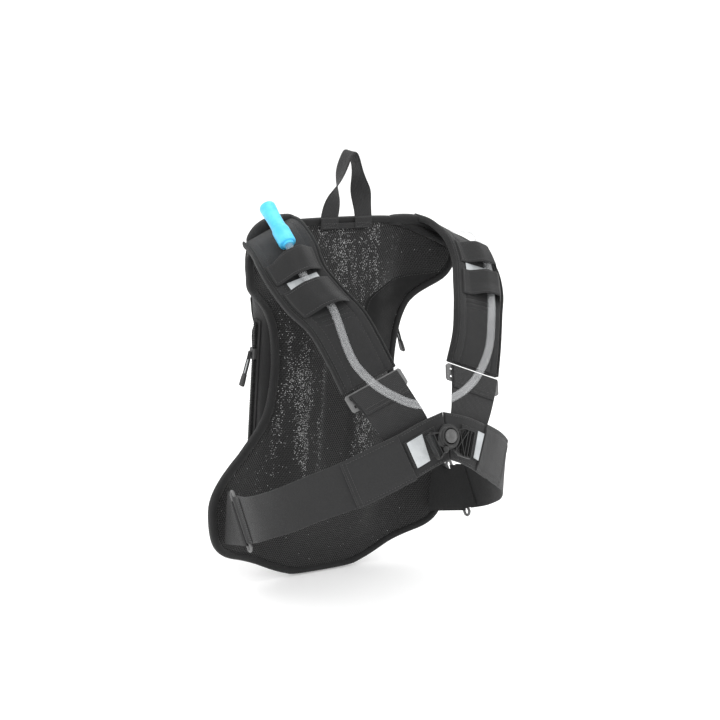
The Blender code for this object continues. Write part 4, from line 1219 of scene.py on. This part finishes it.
BELT_TOP = [(155, -41, 132), (163, -75, 142), (164, -105, 154), (155, -138, 172), (139, -165, 191),
            (118, -191, 210), (90, -210, 230), (60, -221, 246)]
BELT_BOTTOM = [(155, -83, 87), (161, -108, 98), (158, -132, 111), (145, -158, 126), (126, -182, 144),
               (100, -205, 161), (69, -222, 180), (39, -235, 199)]
FRONT_TOP, FRONT_BOTTOM = (0, -221, 267), (0, -241, 218)
SEAM_S = 5.15
BUCKLE_WEB_END = {"left": 2.25, "right": 2.42}
SILVER_PATCH = {"left": (1.07, 1.42), "right": (1.16, 1.82)}


def belt_ribbon(side):
    return Ribbon(on_side(side, BELT_BOTTOM), on_side(side, BELT_TOP), (sign_of(side) * 0.8, -0.6, 0.1))


def front_ribbon(side):
    top = [BELT_TOP[-2], BELT_TOP[-1], (30, -223, 259), FRONT_TOP]
    bottom = [BELT_BOTTOM[-2], BELT_BOTTOM[-1], (19, -239, 210), FRONT_BOTTOM]
    return Ribbon(on_side(side, bottom), on_side(side, top), (0, -0.9, 0.3))


def build_belt(side):
    belt = belt_ribbon(side)
    front = front_ribbon(side)
    shift = 1.3 if side == "left" else 8.2

    def wave(s, u):
        return 0.5 * noise.noise(Vector((s * 0.9, u * 1.5, shift)))

    band = ribbon_piece("belt_band_" + side, belt, (0.22, 5.9), (0.0, 1.0), (120, 26),
                        lambda s, u: -2.3 + wave(s, u),
                        lambda s, u: -0.1 + wave(s, u) * smooth((5.0 - s) / 0.6),
                        MAT["belt"], round_edge=1.1)
    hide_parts("hip_belt_" + side)
    for k, s in enumerate((0.50, 0.58)):
        ribbon_stitch("belt_end_stitch_%d_%s" % (k, side), belt, [(s, 0.03), (s, 0.97)], 0.15,
                      pitch=2.6, radius=0.36)

    def panel_top(s, u):
        d = min(u, 1 - u) * belt.width(s)
        return 2.2 + 0.9 * smooth(d / 9) - 0.7 * math.exp(-((d - 4.0) / 1.0) ** 2) + 0.3 * wave(s * 2, u)

    panel = ribbon_piece("belt_cover_" + side, belt, (SEAM_S, 7.0), (-0.01, 1.01), (60, 30), 0.4, panel_top,
                         MAT["belt"], round_edge=1.8, round_ends=0.02)
    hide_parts("belt_panel_" + side)
    for k, s in enumerate((5.22, 5.32)):
        ribbon_stitch("belt_seam_%d_%s" % (k, side), belt, [(s, 0.0), (s, 0.5), (s, 1.0)],
                      lambda s, u: panel_top(s, u), pitch=2.8, radius=0.36)
    for k, u in enumerate((0.06, 0.94)):
        path = [(5.32 + 1.62 * i / 16, u) for i in range(17)]
        ribbon_stitch("belt_hem_%d_%s" % (k, side), belt, path, lambda s, u: panel_top(s, u))

    def back_low(s, u):
        return -4.2 - 0.6 * smooth(min(u, 1 - u) * 6)

    pad = ribbon_piece("buckle_pad_" + side, front, (0.06, 2.97), (0.0, 1.0), (70, 28), back_low, -0.3,
                       MAT["belt"], round_edge=1.9, round_ends=0.015)
    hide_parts("backing_pad_" + side)
    for k, u in enumerate((0.05, 0.95)):
        path = [(1.1 + 1.8 * i / 16, u) for i in range(17)]
        ribbon_stitch("buckle_pad_stitch_%d_%s" % (k, side), front, path, -0.2)
    web = ribbon_piece("buckle_strap_" + side, front, (1.06, BUCKLE_WEB_END[side]), (0.22, 0.80), (30, 16),
                       0.3, 2.4, MAT["webbing"], round_edge=0.9, round_ends=0.03)
    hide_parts("buckle_webbing_" + side)
    patch = ribbon_piece("silver_patch_" + side, front, SILVER_PATCH[side], (0.20, 0.78), (20, 16), 2.5, 3.3,
                         MAT["reflective"], round_edge=0.4, round_ends=0.02)
    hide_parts("reflective_patch_" + side)


# ---- drink tube -----------------------------------------------------------------------------------

PORT_POINT, PORT_AXIS = Vector((103.4, 24, 398.4)), Vector((0.97, 0.0, 0.25))
VALVE_AXIS = Vector((-0.01, 0.83, 0.56)).normalized()
SLEEVE_PROFILE = [(0, -2.0), (5.6, -2.0), (6.3, -1.4), (6.4, 0.2), (8.9, 0.4), (9.6, 1.0), (9.8, 2.4),
                  (9.9, 19), (9.7, 21), (9.2, 22.6), (8.8, 23.9), (0, 24)]
TIP_PROFILE = [(0, 24.2), (8.5, 24.2), (8.6, 25), (8.3, 30), (8.3, 36), (8.5, 42), (8.9, 48), (9.3, 53),
               (9.5, 56), (9.3, 58.3), (8.4, 60), (6.8, 60.9), (4.5, 60.9), (0, 60.2)]


def valve_start():
    strap = strap_ribbon("right")
    s = UPPER_BAND[0]
    return strap.off(s, TUBE_U["right"], tube_lift("right", s)) + VALVE_AXIS * 10.0


def tube_route():
    left, right = strap_ribbon("left"), strap_ribbon("right")
    port_top = frame_at(PORT_POINT, PORT_AXIS) @ Vector((0, 0, 8.4))
    route = [port_top, port_top + Vector((9.5, -0.6, 2.6))]
    route += [Vector(p) for p in ((134, 15, 411), (147, 2, 420), (155, -15, 424.5), (157.5, -33, 426.5),
                                  (155, -50, 426.5))]
    route += [left.off(1.8, 0.77, 6.4), left.off(2.3, 0.69, TUBE_LIFT)]
    route += [left.off(s, TUBE_U["left"], TUBE_LIFT) for s in (3.0, 3.75, 4.5)]
    route += [Vector(p) for p in ((95.4, -170, 355.9), (73.8, -197, 324.4), (43.7, -214, 296),
                                  (1.9, -228, 283), (-43.7, -236, 283), (-70, -224, 292), (-88, -206, 305),
                                  (-101, -184, 327))]
    route += [right.off(s, TUBE_U["right"], tube_lift("right", s)) for s in (4.6, 3.75, 3.1, 2.6)]
    start = valve_start()
    return route + [start - VALVE_AXIS * 10.0, start - VALVE_AXIS * 5.0, start]


def build_tube():
    points = even_line(even_line(tube_route(), 18.0), 4.5)
    across = transport(points, (1, 0, 0))
    verts = []
    rows, n = len(points), 24
    for radius in (TUBE_RADIUS, TUBE_BORE):
        for i, p in enumerate(points):
            along = (points[min(i + 1, rows - 1)] - points[max(i - 1, 0)]).normalized()
            x = across(i, along)
            y = along.cross(x)
            verts += [p + x * a + y * b for a, b in ellipse(radius, radius, n)]
    base = rows * n
    faces = ring_faces(rows, n)
    faces += [tuple(reversed(face)) for face in ring_faces(rows, n, base)]
    for start in (0, base - n):
        for j in range(n):
            a, b = start + j, start + (j + 1) % n
            faces.append((a, b, base + b, base + a))
    tube = make_object("drink_hose", verts, faces, MAT["tube"])
    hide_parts("drink_tube")
    where = frame_at(valve_start() + VALVE_AXIS * 0.6, VALVE_AXIS)
    sleeve = turned("valve_body", SLEEVE_PROFILE, where, MAT["blue"], count=56)
    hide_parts("valve_sleeve")
    tip = turned("valve_mouthpiece", TIP_PROFILE, where, MAT["blue"], count=56)
    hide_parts("bite_valve")


# ---- rings and tabs on the wings -------------------------------------------------------------------

def folded_strip(name, path_of, thick, mat, columns=14):
    """Cloth folded round a bar: path_of(u) gives the middle line of the strip at share u of its width."""
    low, high = [], []
    lines = [even_line(path_of(j / columns), 1.6) for j in range(columns + 1)]
    count = min(len(line) for line in lines)
    lines = [[catmull(line, (len(line) - 1) * i / (count - 1)) for i in range(count)] for line in lines]
    for i in range(count):
        lo, hi = [], []
        for j, line in enumerate(lines):
            a, b = line[max(i - 1, 0)], line[min(i + 1, count - 1)]
            left, right = lines[max(j - 1, 0)][i], lines[min(j + 1, columns)][i]
            n = (b - a).cross(right - left).normalized()
            edge = min(j, columns - j) / columns * 10
            half = 0.5 * thick * math.sqrt(max(0.03, 1 - max(0.0, 1 - edge) ** 2))
            lo.append(line[i] - n * half)
            hi.append(line[i] + n * half)
        low.append(lo)
        high.append(hi)
    return sheet_solid(name, low, high, mat)


def build_belt_fold(side):
    """The belt's end, folded round the ring's front bar and sewn down."""
    belt = belt_ribbon(side)

    def belt_fold(u):
        u = 0.02 + 0.96 * u
        origin = belt.point(0.0, u)
        along = (belt.point(0.3, u) - origin).normalized()
        normal = belt.normal(0.05, u)
        round_bar = [(6.0, -3.3), (3.0, -3.1), (0, -3.0), (-2.2, -1.9), (-2.9, 0.4), (-2.1, 2.1), (0, 2.95),
                     (2.6, 2.6), (5.0, 1.5)]
        line = [belt.off(s, u, -3.3) for s in (0.62, 0.42)]
        line += [origin + along * a + normal * h for a, h in round_bar]
        return line + [belt.off(s, u, 0.5) for s in (0.27, 0.40, 0.56)]

    fold = folded_strip("belt_fold_" + side, belt_fold, 1.1, MAT["belt"])
    for k, s in enumerate((0.36, 0.50)):
        ribbon_stitch("belt_fold_stitch_%d_%s" % (k, side), belt, [(s, 0.05), (s, 0.95)], 1.05,
                      pitch=2.6, radius=0.36)


def build_wing_tab(side):
    """The cloth tab that holds the ring's back bar to the wing, and the cloth behind the ring."""
    sign = sign_of(side)
    belt = belt_ribbon(side)
    shift = Vector((-1.0 * sign, 5.8, -5.8))
    panel_top = Vector((147 * sign, panel_y(147, 130) - 1.6, 130))
    panel_low = Vector((147 * sign, panel_y(147, 66) - 1.6, 62))
    top, low = Vector((155 * sign, -42, 130.8)) + shift, Vector((155 * sign, -82, 88.2)) + shift

    def tab_fold(u):
        bar = low.lerp(top, u)
        root = panel_low.lerp(panel_top, u)
        ahead = (bar - root).normalized()
        axis = (top - low).normalized()
        out = axis.cross(ahead) * sign
        if out.x * sign < 0:
            out = -out
        line = [root + out * 2.0, root.lerp(bar, 0.35) + out * 2.4, root.lerp(bar, 0.75) + out * 2.6]
        round_bar = ((-1.0, 2.7), (1.6, 2.0), (2.7, 0), (1.6, -2.0), (-1.0, -2.7))
        line += [bar + ahead * a + out * h for a, h in round_bar]
        return line + [root.lerp(bar, 0.7) - out * 2.0, root.lerp(bar, 0.3) - out * 1.4, root - out * 1.0]

    def guard_path(u):
        u = 0.03 + 0.94 * u
        line = tab_fold(u)
        inward = (line[-1] - line[0]).normalized()
        return [line[-1] + inward * 1.5, low.lerp(top, u) + inward * 4.6, belt.off(0.30, u, -5.0),
                belt.off(0.62, u, -4.8)]

    guard = folded_strip("ring_guard_" + side, guard_path, 1.2, MAT["pad"])
    tab = folded_strip("wing_tab_fold_" + side, tab_fold, 1.2, MAT["pad"])
    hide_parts("wing_tab_" + side)
    lines = [tab_fold(0.05 + 0.9 * i / 16) for i in range(17)]
    normals = [(line[1] - line[-2]).normalized() for line in lines]
    points = [line[1].lerp(line[2], 0.5) + normal * 0.7 for line, normal in zip(lines, normals)]
    stitch_line("wing_tab_stitch_" + side, points, normals)


# ---- strap roots ----------------------------------------------------------------------------------

ROOT_LINES = {"left": [(60, 4, 436), (80, 4, 437), (96, 3, 436.5), (109, 1, 434), (121, -3, 429),
                       (131, -9, 423), (140, -16, 415)],
              "right": [(62, 9, 440.5), (80, 10, 440.5), (95, 11.5, 437.5), (107, 12.5, 431),
                        (115, 12.5, 421), (119, 12, 410)]}
ROOT_SCALE = {"left": 0.9, "right": 1.0}


def build_strap_root(side):
    """Padded roll behind the top of the strap, where its lining turns down to the yoke."""
    sign = sign_of(side)
    points = even_line([Vector((x * sign, y, z)) for x, y, z in ROOT_LINES[side]], 2.5)
    last = len(points) - 1
    verts, rings = [], 18
    for i, p in enumerate(points):
        along = (points[min(i + 1, last)] - points[max(i - 1, 0)]).normalized()
        up = Vector((0, 0, 1))
        up = (up - along * up.dot(along)).normalized()
        side_dir = along.cross(up)
        t = i / last
        fat = ROOT_SCALE[side] * (0.25 + 0.75 * min(1.0, math.sqrt(min(t, 1 - t) / 0.12)))
        crease = 1 + 0.05 * noise.noise(Vector((t * 9, 0.3, sign)))
        for a, b in ellipse(8.5 * fat * crease, 7.4 * fat, rings, 2.3):
            verts.append(p + side_dir * a + up * b)
    faces = ring_faces(last + 1, rings)
    faces.append(tuple(range(rings)))
    faces.append(tuple(range(last * rings, (last + 1) * rings)))
    roll = make_object("strap_root_" + side, verts, faces, MAT["shell"])


# ---- buckle ---------------------------------------------------------------------------------------

BUCKLE_SCALE = 0.82
BUCKLE_CENTRE, BUCKLE_LEAN = (-9, -241.5, 245), 21.0
ARM_SLOPE = 22.0  # degrees that each arm of the buckle drops towards its side
SOCKET_RIBS = [((-29.2, -17.8), (-12.6, -12.2)), ((-29.2, 17.8), (-12.6, 12.2)), ((-29.3, -17), (-29.3, 17)),
               ((-21.5, -16.6), (-21.5, 16.6)), ((-20.6, -1.8), (-13.2, -11.2)),
               ((-20.6, 1.8), (-13.2, 11.2))]
LUG_PROFILE = [(0, 0.8), (4.6, 0.8), (4.8, 1.6), (4.8, 6.4), (4.3, 7.4), (3.0, 7.9), (0, 8.1)]
RIM_PROFILE = [(10.3, 4.6), (10.3, 7.9), (10.9, 8.5), (12.4, 8.5), (13.2, 7.9), (13.6, 6.6), (14.6, 5.9),
               (16.1, 5.6), (16.4, 4.6)]
TONGUE_HOLES = [[(18.8, 13.2), (20.6, 15.4), (28.2, 15.8), (24.6, 3.4)],
                [(18.8, -13.2), (24.6, -3.4), (28.2, -15.8), (20.6, -15.4)],
                [(17.6, 9.5), (22.6, 0), (17.6, -9.5)], [(30.2, 12.5), (30.2, -12.5), (26.4, 0)],
                [(32.6, -15.6), (35.2, -15.6), (35.2, 15.6), (32.6, 15.6)],
                [(38.0, -15.6), (40.6, -15.6), (40.6, 15.6), (38.0, 15.6)]]
TALL_RIBS = [((17.2, 13.8), (30.6, -14.4)), ((17.2, -13.8), (30.6, 14.4)), ((16.6, -14.6), (16.6, 14.6)),
             ((31.4, -17.6), (31.4, 17.6))]
LOW_RIBS = [((42.4, -17.6), (42.4, 17.6)), ((36.6, -16.8), (36.6, 16.8)), ((14.0, 13.6), (25.2, 18.2)),
            ((25.2, 18.2), (42.0, 18.2)), ((14.0, -13.6), (25.2, -18.2)), ((25.2, -18.2), (42.0, -18.2))]
DOME_PROFILE = [(0, 4.2), (9.0, 4.2), (9.3, 4.6), (9.3, 9.3), (9.1, 9.9), (8.6, 10.3), (7.9, 10.35),
                (7.5, 10.2), (7.1, 10.35), (6.0, 10.9), (4.6, 11.4), (3.0, 11.8), (1.4, 12.0), (0, 12.05)]


def buckle_frame():
    lean = math.radians(BUCKLE_LEAN)
    normal = Vector((0, -math.cos(lean), math.sin(lean)))
    x = Vector((1, 0, 0))
    return axes_at(Vector(BUCKLE_CENTRE), x * BUCKLE_SCALE, normal.cross(x) * BUCKLE_SCALE, normal)


def arc(cx, cy, r, a0, a1, count):
    return [(cx + r * math.cos(math.radians(a0 + (a1 - a0) * i / count)),
             cy + r * math.sin(math.radians(a0 + (a1 - a0) * i / count))) for i in range(count + 1)]


def spun(points, degrees):
    c, s = math.cos(math.radians(degrees)), math.sin(math.radians(degrees))
    return [(x * c - y * s, x * s + y * c) for x, y in points]


def rib(p, q, width):
    """Thin straight bar between two points, as an outline."""
    d = Vector((q[0] - p[0], q[1] - p[1])).normalized() * 0.5 * width
    n = Vector((-d.y, d.x))
    return [(p[0] - d.x + n.x, p[1] - d.y + n.y), (p[0] - d.x - n.x, p[1] - d.y - n.y),
            (q[0] + d.x - n.x, q[1] + d.y - n.y), (q[0] + d.x + n.x, q[1] + d.y + n.y)]


def bearing(point):
    return math.degrees(math.atan2(point[1], point[0]))


def build_socket(where):
    """The half on the wearer's right: a ring with a slotted arm, raised ribs, a lug and the button's rim."""
    low_arm = spun([(-30, -17), (-29, -19), (-24, -19), (-11.5, -12.5)], ARM_SLOPE)
    high_arm = spun([(-11.5, 12.5), (-24, 19), (-29, 19), (-30, 17)], ARM_SLOPE)
    a0, a1 = bearing(low_arm[-1]), bearing(high_arm[0])
    round_part = arc(0, 0, 17.0, a0 + 8, a1 + 352 if a1 < a0 + 8 else a1 - 8, 44)
    holes = [spun(hole, ARM_SLOPE) for hole in ([(-27, -15), (-22.8, -15), (-22.8, 15), (-27, 15)],
                                                [(-20.3, -15.2), (-13.8, -11.8), (-20.3, -3.2)],
                                                [(-20.3, 15.2), (-20.3, 3.2), (-13.8, 11.8)])]
    holes.append(arc(0, 0, 10.1, 0, 354, 59))
    socket = plate("buckle_socket_body", low_arm + round_part + high_arm, holes, 0.5, 5.4, where,
                   MAT["plastic"], bevel=0.7)
    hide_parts("buckle_socket")
    pieces = [socket]
    for k, ends in enumerate(SOCKET_RIBS):
        p, q = spun(ends, ARM_SLOPE)
        pieces.append(plate("socket_rib_%d" % k, rib(p, q, 1.5), [], 5.0, 6.6, where, MAT["plastic"],
                            bevel=0.4))
    lug = spun([(-14.5, -11.5)], ARM_SLOPE)[0]
    pieces.append(turned("socket_lug", LUG_PROFILE, where @ Matrix.Translation(Vector((lug[0], lug[1], 0))),
                         MAT["plastic"], count=32))
    collar = turned("buckle_rim", RIM_PROFILE, where, MAT["plastic"], count=72)
    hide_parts("buckle_collar")
    return pieces + [collar]


def build_tongue(where):
    """The half on the wearer's left, with crossed and straight ribs between its holes."""
    low_arm = spun([(12.0, -12.5), (25, -19), (42, -19), (43.5, -17)], -ARM_SLOPE)
    high_arm = spun([(43.5, 17), (42, 19), (25, 19), (12.0, 12.5)], -ARM_SLOPE)
    back = arc(0, 0, 11.3, bearing(high_arm[-1]) + 8, bearing(low_arm[0]) + 352, 40)
    holes = [spun(hole, -ARM_SLOPE) for hole in TONGUE_HOLES]
    tongue = plate("buckle_tongue_body", low_arm + high_arm + back, holes, -2.2, 0.2, where, MAT["plastic"],
                   bevel=0.5)
    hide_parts("buckle_tongue")
    pieces = [tongue]
    for k, ends in enumerate(TALL_RIBS + LOW_RIBS):
        p, q = spun(ends, -ARM_SLOPE)
        top = 2.6 if ends in TALL_RIBS else 1.8
        pieces.append(plate("tongue_rib_%d" % k, rib(p, q, 1.4), [], -1.6, top, where, MAT["plastic"],
                            bevel=0.4))
    return pieces


def build_buckle():
    where = buckle_frame()
    for piece in build_socket(where) + build_tongue(where):
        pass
    button = turned("press_button", DOME_PROFILE, where, MAT["button"], count=72, body="button", sharp=50)
    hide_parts("buckle_button")


# ---- side zips ------------------------------------------------------------------------------------

SLIDER_Z = {"left": 303.0, "right": 279.0}
ZIP_X, ZIP_Y = 97.7, 29.0
TOOTH_COUNT = 84
TOOTH_RING = [(-1.9, 0.0), (-1.2, 0.62), (1.2, 0.62), (1.9, 0.0), (1.2, -0.62), (-1.2, -0.62)]
PULL_LEAN = {"left": 0.385, "right": 0.238}
PULL_LOOP = [(-0.6, -28.5), (-2.2, -27), (-2.5, -18), (-2.2, -8), (-1.7, -2), (-1.2, 0.6), (0, 1.4),
             (1.2, 0.6), (1.7, -2), (2.2, -8), (2.5, -18), (2.2, -27), (0.6, -28.5)]
GRIP_OUTLINE = [(-3.4, 1.0), (-2.4, 2.2), (2.4, 2.2), (3.4, 1.0), (4.4, -8), (4.2, -12.4), (3.2, -13.6),
                (-3.2, -13.6), (-4.2, -12.4), (-4.4, -8)]


def build_zip(side):
    sign = sign_of(side)
    tape_x = (ZIP_X - 2.9) * sign
    tape = Ribbon([(tape_x, ZIP_Y - 8, 138), (tape_x, ZIP_Y - 8, 320)],
                  [(tape_x, ZIP_Y + 8, 138), (tape_x, ZIP_Y + 8, 320)], (sign, 0, 0))
    cloth = ribbon_piece("zip_cloth_" + side, tape, (0, 1), (0, 1), (90, 16), -0.3,
                         lambda s, u: 0.9 - 0.5 * math.exp(-((abs(u - 0.5) - 0.22) / 0.03) ** 2),
                         MAT["binding"], round_edge=0.5, round_ends=0.004)
    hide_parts("zip_tape_" + side)
    verts, faces = [], []
    size = len(TOOTH_RING)
    for i in range(TOOTH_COUNT):
        z = 143 + 172 * i / (TOOTH_COUNT - 1)
        for half in (-1, 1):
            base = len(verts)
            middle = Vector((ZIP_X * sign, ZIP_Y + half * 1.5, z + 0.5 * half))
            for lift, share in ((-1.5, 1.0), (0.6, 1.0), (1.5, 0.55)):
                verts += [middle + Vector((sign * lift, a * share, b * share)) for a, b in TOOTH_RING]
            faces += ring_faces(3, size, base)
            faces.append(tuple(range(base, base + size)))
            faces.append(tuple(reversed(range(len(verts) - size, len(verts)))))
    teeth = make_object("zip_teeth_" + side, verts, faces, MAT["coil"])
    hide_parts("zip_coil_" + side)
    build_pull(side, sign)


def build_pull(side, sign):
    body = "zip_pull_" + side
    outward = Vector((sign, 0, 0))
    where = axes_at(Vector(((ZIP_X + 6.0) * sign, ZIP_Y, SLIDER_Z[side] + 1.0)), Vector((0, sign, 0)),
                    Vector((0, 0, 1)), outward)
    lean = PULL_LEAN[side]

    def bend(x, y):
        return Vector((x, y, max(0.0, -y - 4) * lean))

    points = [where @ bend(x, y) for x, y in PULL_LOOP]
    line = even_line(points, 1.4)
    cord = sweep("pull_cord_" + side, line, ellipse(1.25, 1.25, 10), transport(line, outward), MAT["webbing"],
                 body=body)
    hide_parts("zip_pull_" + side)
    strip = Ribbon([where @ bend(-1.3, y) for y in (-8, -15, -22, -28)],
                   [where @ bend(1.3, y) for y in (-8, -15, -22, -28)], outward)
    insert = ribbon_piece("pull_insert_" + side, strip, (0, 3), (0, 1), (16, 4), -0.4, 0.5, MAT["reflective"],
                          body=body)
    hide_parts("zip_pull_insert_" + side)
    tilt = where @ Matrix.Translation(bend(0, -27)) @ Matrix.Rotation(-lean, 4, "X")
    tab = plate("pull_grip_" + side, GRIP_OUTLINE, [], -1.7, 1.7, tilt, MAT["coil"], bevel=0.9, body=body)
    for k in range(4):
        y = -3.0 - 2.4 * k
        bar = plate("pull_grip_rib_%d_%s" % (k, side), rib((-2.6, y), (2.6, y), 0.9), [], 1.5, 2.1, tilt,
                    MAT["coil"], bevel=0.25, body=body)


# ---- hard parts -----------------------------------------------------------------------------------

CAD_LOOKS = {"wing_ring_left": "slider", "wing_ring_right": "slider", "strap_slider_left": "slider",
             "strap_slider_right": "slider", "hose_port": "plastic", "bladder_cap": "blue",
             "bladder_outlet": "blue", "inner_hose": "tube", "water_bladder": "film",
             "zip_slider_left": "metal", "zip_slider_right": "metal"}
SOFT_EDGE = 0.0005


def finish_cad_parts():
    """Moulded CAD nodes keep their shape; they get softened edges and their own material."""
    for node, look in CAD_LOOKS.items():
        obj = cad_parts[node]
        obj.data.materials.clear()
        obj.data.materials.append(MAT[look])
        if look not in ("tube", "film"):
            bevel = obj.modifiers.new("edge", "BEVEL")
            bevel.width = SOFT_EDGE
            bevel.segments = 3
            bevel.limit_method = "ANGLE"
            bevel.angle_limit = math.radians(40)


# ---- studio ---------------------------------------------------------------------------------------

FLOOR_HALF, CURVE_HEIGHT, FLOOR_STEPS = 6.0, 3.0, 20
FLOOR_GLOW, WORLD_LIGHT = 0.22, 1.01
# name, place, size and power of each lamp
LAMPS = (("key", (-1.6, -2.2, 1.9), 1.6, 40.0), ("fill", (2.2, -1.8, 0.9), 1.8, 9.0),
         ("top", (0.2, -0.2, 2.4), 2.0, 20.0), ("rear", (0.6, 2.2, 1.2), 1.6, 14.0))


def build_studio():
    """White floor that curves up behind the pack, with four lamps and a white world."""
    floor_z = CAD_BOX[0][2] - 0.0015
    section = [(-FLOOR_HALF + 2 * FLOOR_HALF * i / FLOOR_STEPS, 0.0) for i in range(FLOOR_STEPS)]
    for i in range(FLOOR_STEPS + 1):
        a = 0.5 * math.pi * i / FLOOR_STEPS
        section.append((FLOOR_HALF + CURVE_HEIGHT * math.sin(a), CURVE_HEIGHT * (1 - math.cos(a))))
    verts = [(x, y, floor_z + z) for y, z in section for x in (-9, 9)]
    faces = [(2 * i, 2 * i + 1, 2 * i + 3, 2 * i + 2) for i in range(len(section) - 1)]
    mesh = bpy.data.meshes.new("studio_floor")
    mesh.from_pydata(verts, [], faces)
    for p in mesh.polygons:
        p.use_smooth = True
    floor = new_object("studio_floor", mesh)
    m = Surface("paper_floor", rough=0.9, specular=0.2)
    m.color(m.blend(m.noise(m.coords(False), 3.0, 2.0), grey(0.86), grey(0.9)))
    m.bsdf.inputs["Emission Color"].default_value = (1.0, 1.0, 1.0, 1.0)
    m.bsdf.inputs["Emission Strength"].default_value = FLOOR_GLOW
    mesh.materials.append(m.mat)
    world = bpy.data.worlds.new("studio")
    bpy.context.scene.world = world
    world.use_nodes = True
    background = world.node_tree.nodes["Background"]
    background.inputs[0].default_value = (1.0, 1.0, 1.0, 1.0)
    background.inputs[1].default_value = WORLD_LIGHT
    bpy.context.scene.view_settings.view_transform = "Standard"
    for name, where, size, power in LAMPS:
        data = bpy.data.lights.new(name, "AREA")
        data.shape = "SQUARE"
        data.size = size
        data.energy = power
        lamp = new_object(name, data)
        lamp.location = where
        lamp.rotation_euler = (Vector((0, 0, -0.2)) - Vector(where)).to_track_quat("-Z", "Y").to_euler()


make_camera()
make_materials()
build_tube()
build_panel()
build_armhole_facing()
build_bag()
build_haul_loop()
for which in SIDES:
    build_strap(which)
    build_belt(which)
    build_belt_fold(which)
    build_wing_tab(which)
    build_strap_root(which)
    build_zip(which)
build_buckle()
finish_cad_parts()
build_studio()
bpy.context.view_layer.update()
